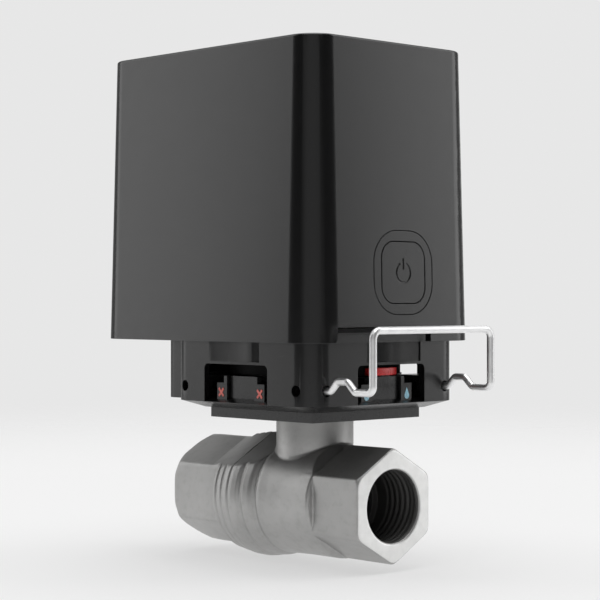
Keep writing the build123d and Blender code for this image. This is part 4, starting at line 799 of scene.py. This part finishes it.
def softbox(name, angle, away, width, height, radiance, lift=0.0, spread=180.0):
    """A soft panel that faces the object; angle counts from the camera's side, width and height are its size as seen, in degrees."""
    data = bpy.data.lights.new(name, "AREA")
    data.shape = "RECTANGLE"
    data.size = 2 * away * math.tan(math.radians(width / 2))
    data.size_y = 2 * away * math.tan(math.radians(height / 2))
    data.energy = radiance * math.pi * data.size * data.size_y
    data.spread = math.radians(spread)
    ob = bpy.data.objects.new(name, data)
    a, e = math.radians(FRONT + angle), math.radians(lift)
    ob.location = centre + away * Vector((math.cos(a) * math.cos(e), math.sin(a) * math.cos(e), math.sin(e)))
    ob.rotation_mode = "QUATERNION"
    ob.rotation_quaternion = (centre - ob.location).to_track_quat("-Z", "Y")
    ob.visible_camera = False
    bpy.context.scene.collection.objects.link(ob)
    return ob


softbox("box_left", -(91.8 + 14.5), 2.0, 29, 60, 1.50, lift=26)
softbox("box_right", 86.7 + 14.5, 2.0, 29, 60, 1.85, lift=26)
softbox("top", 0, 1.6, 46, 46, 3.2, lift=89.9)

world = bpy.data.worlds.new("studio")
bpy.context.scene.world = world
world.use_nodes = True
t = world.node_tree
t.nodes.clear()
wout = t.nodes.new("ShaderNodeOutputWorld")
room = t.nodes.new("ShaderNodeBackground")
plain = t.nodes.new("ShaderNodeBackground")
plain.inputs[0].default_value = (0.80, 0.80, 0.80, 1)
pick = t.nodes.new("ShaderNodeMixShader")
path = t.nodes.new("ShaderNodeLightPath")
tc = t.nodes.new("ShaderNodeTexCoord")
flat = t.nodes.new("ShaderNodeVectorMath")
flat.operation = "MULTIPLY"
t.links.new(tc.outputs["Generated"], flat.inputs[0])
flat.inputs[1].default_value = (1, 1, 0)
unit = t.nodes.new("ShaderNodeVectorMath")
unit.operation = "NORMALIZE"
t.links.new(flat.outputs[0], unit.inputs[0])
dot = t.nodes.new("ShaderNodeVectorMath")
dot.operation = "DOT_PRODUCT"
t.links.new(unit.outputs[0], dot.inputs[0])
lean = math.radians(FRONT - 5.5)
dot.inputs[1].default_value = (math.cos(lean), math.sin(lean), 0)
acos = t.nodes.new("ShaderNodeMath")
acos.operation = "ARCCOSINE"
acos.use_clamp = False
t.links.new(dot.outputs["Value"], acos.inputs[0])
turn = t.nodes.new("ShaderNodeMath")
turn.operation = "MULTIPLY"
turn.inputs[1].default_value = 1 / math.pi
t.links.new(acos.outputs[0], turn.inputs[0])
ramp = t.nodes.new("ShaderNodeValToRGB")
stops = [(0, 0.36), (27, 0.33), (36, 0.03), (90, 0.035), (116, 0.10), (128, 0.20), (150, 0.24), (160, 0.80), (180, 0.90)]
els = ramp.color_ramp.elements
while len(els) < len(stops):
    els.new(0.5)
for el, (deg, v) in zip(els, stops):
    el.position = deg / 180
    el.color = (v, v, v, 1)
t.links.new(turn.outputs[0], ramp.inputs[0])
# towards straight down the room turns into the pale floor
height = t.nodes.new("ShaderNodeSeparateXYZ")
t.links.new(tc.outputs["Generated"], height.inputs[0])
low = t.nodes.new("ShaderNodeMapRange")
low.interpolation_type = "SMOOTHSTEP"
t.links.new(height.outputs[2], low.inputs["Value"])
for key, v in (("From Min", -0.02), ("From Max", -0.25), ("To Min", 0.0), ("To Max", 1.0)):
    low.inputs[key].default_value = v
ground = t.nodes.new("ShaderNodeMix")
ground.data_type = "RGBA"
t.links.new(low.outputs[0], ground.inputs[0])
t.links.new(ramp.outputs[0], ground.inputs[6])
ground.inputs[7].default_value = (0.55, 0.55, 0.55, 1)
t.links.new(ground.outputs[2], room.inputs[0])
t.links.new(path.outputs["Is Camera Ray"], pick.inputs[0])
t.links.new(room.outputs[0], pick.inputs[1])
t.links.new(plain.outputs[0], pick.inputs[2])
t.links.new(pick.outputs[0], wout.inputs[0])

bpy.context.scene.view_settings.view_transform = "Standard"
bpy.context.scene.view_settings.look = "None"
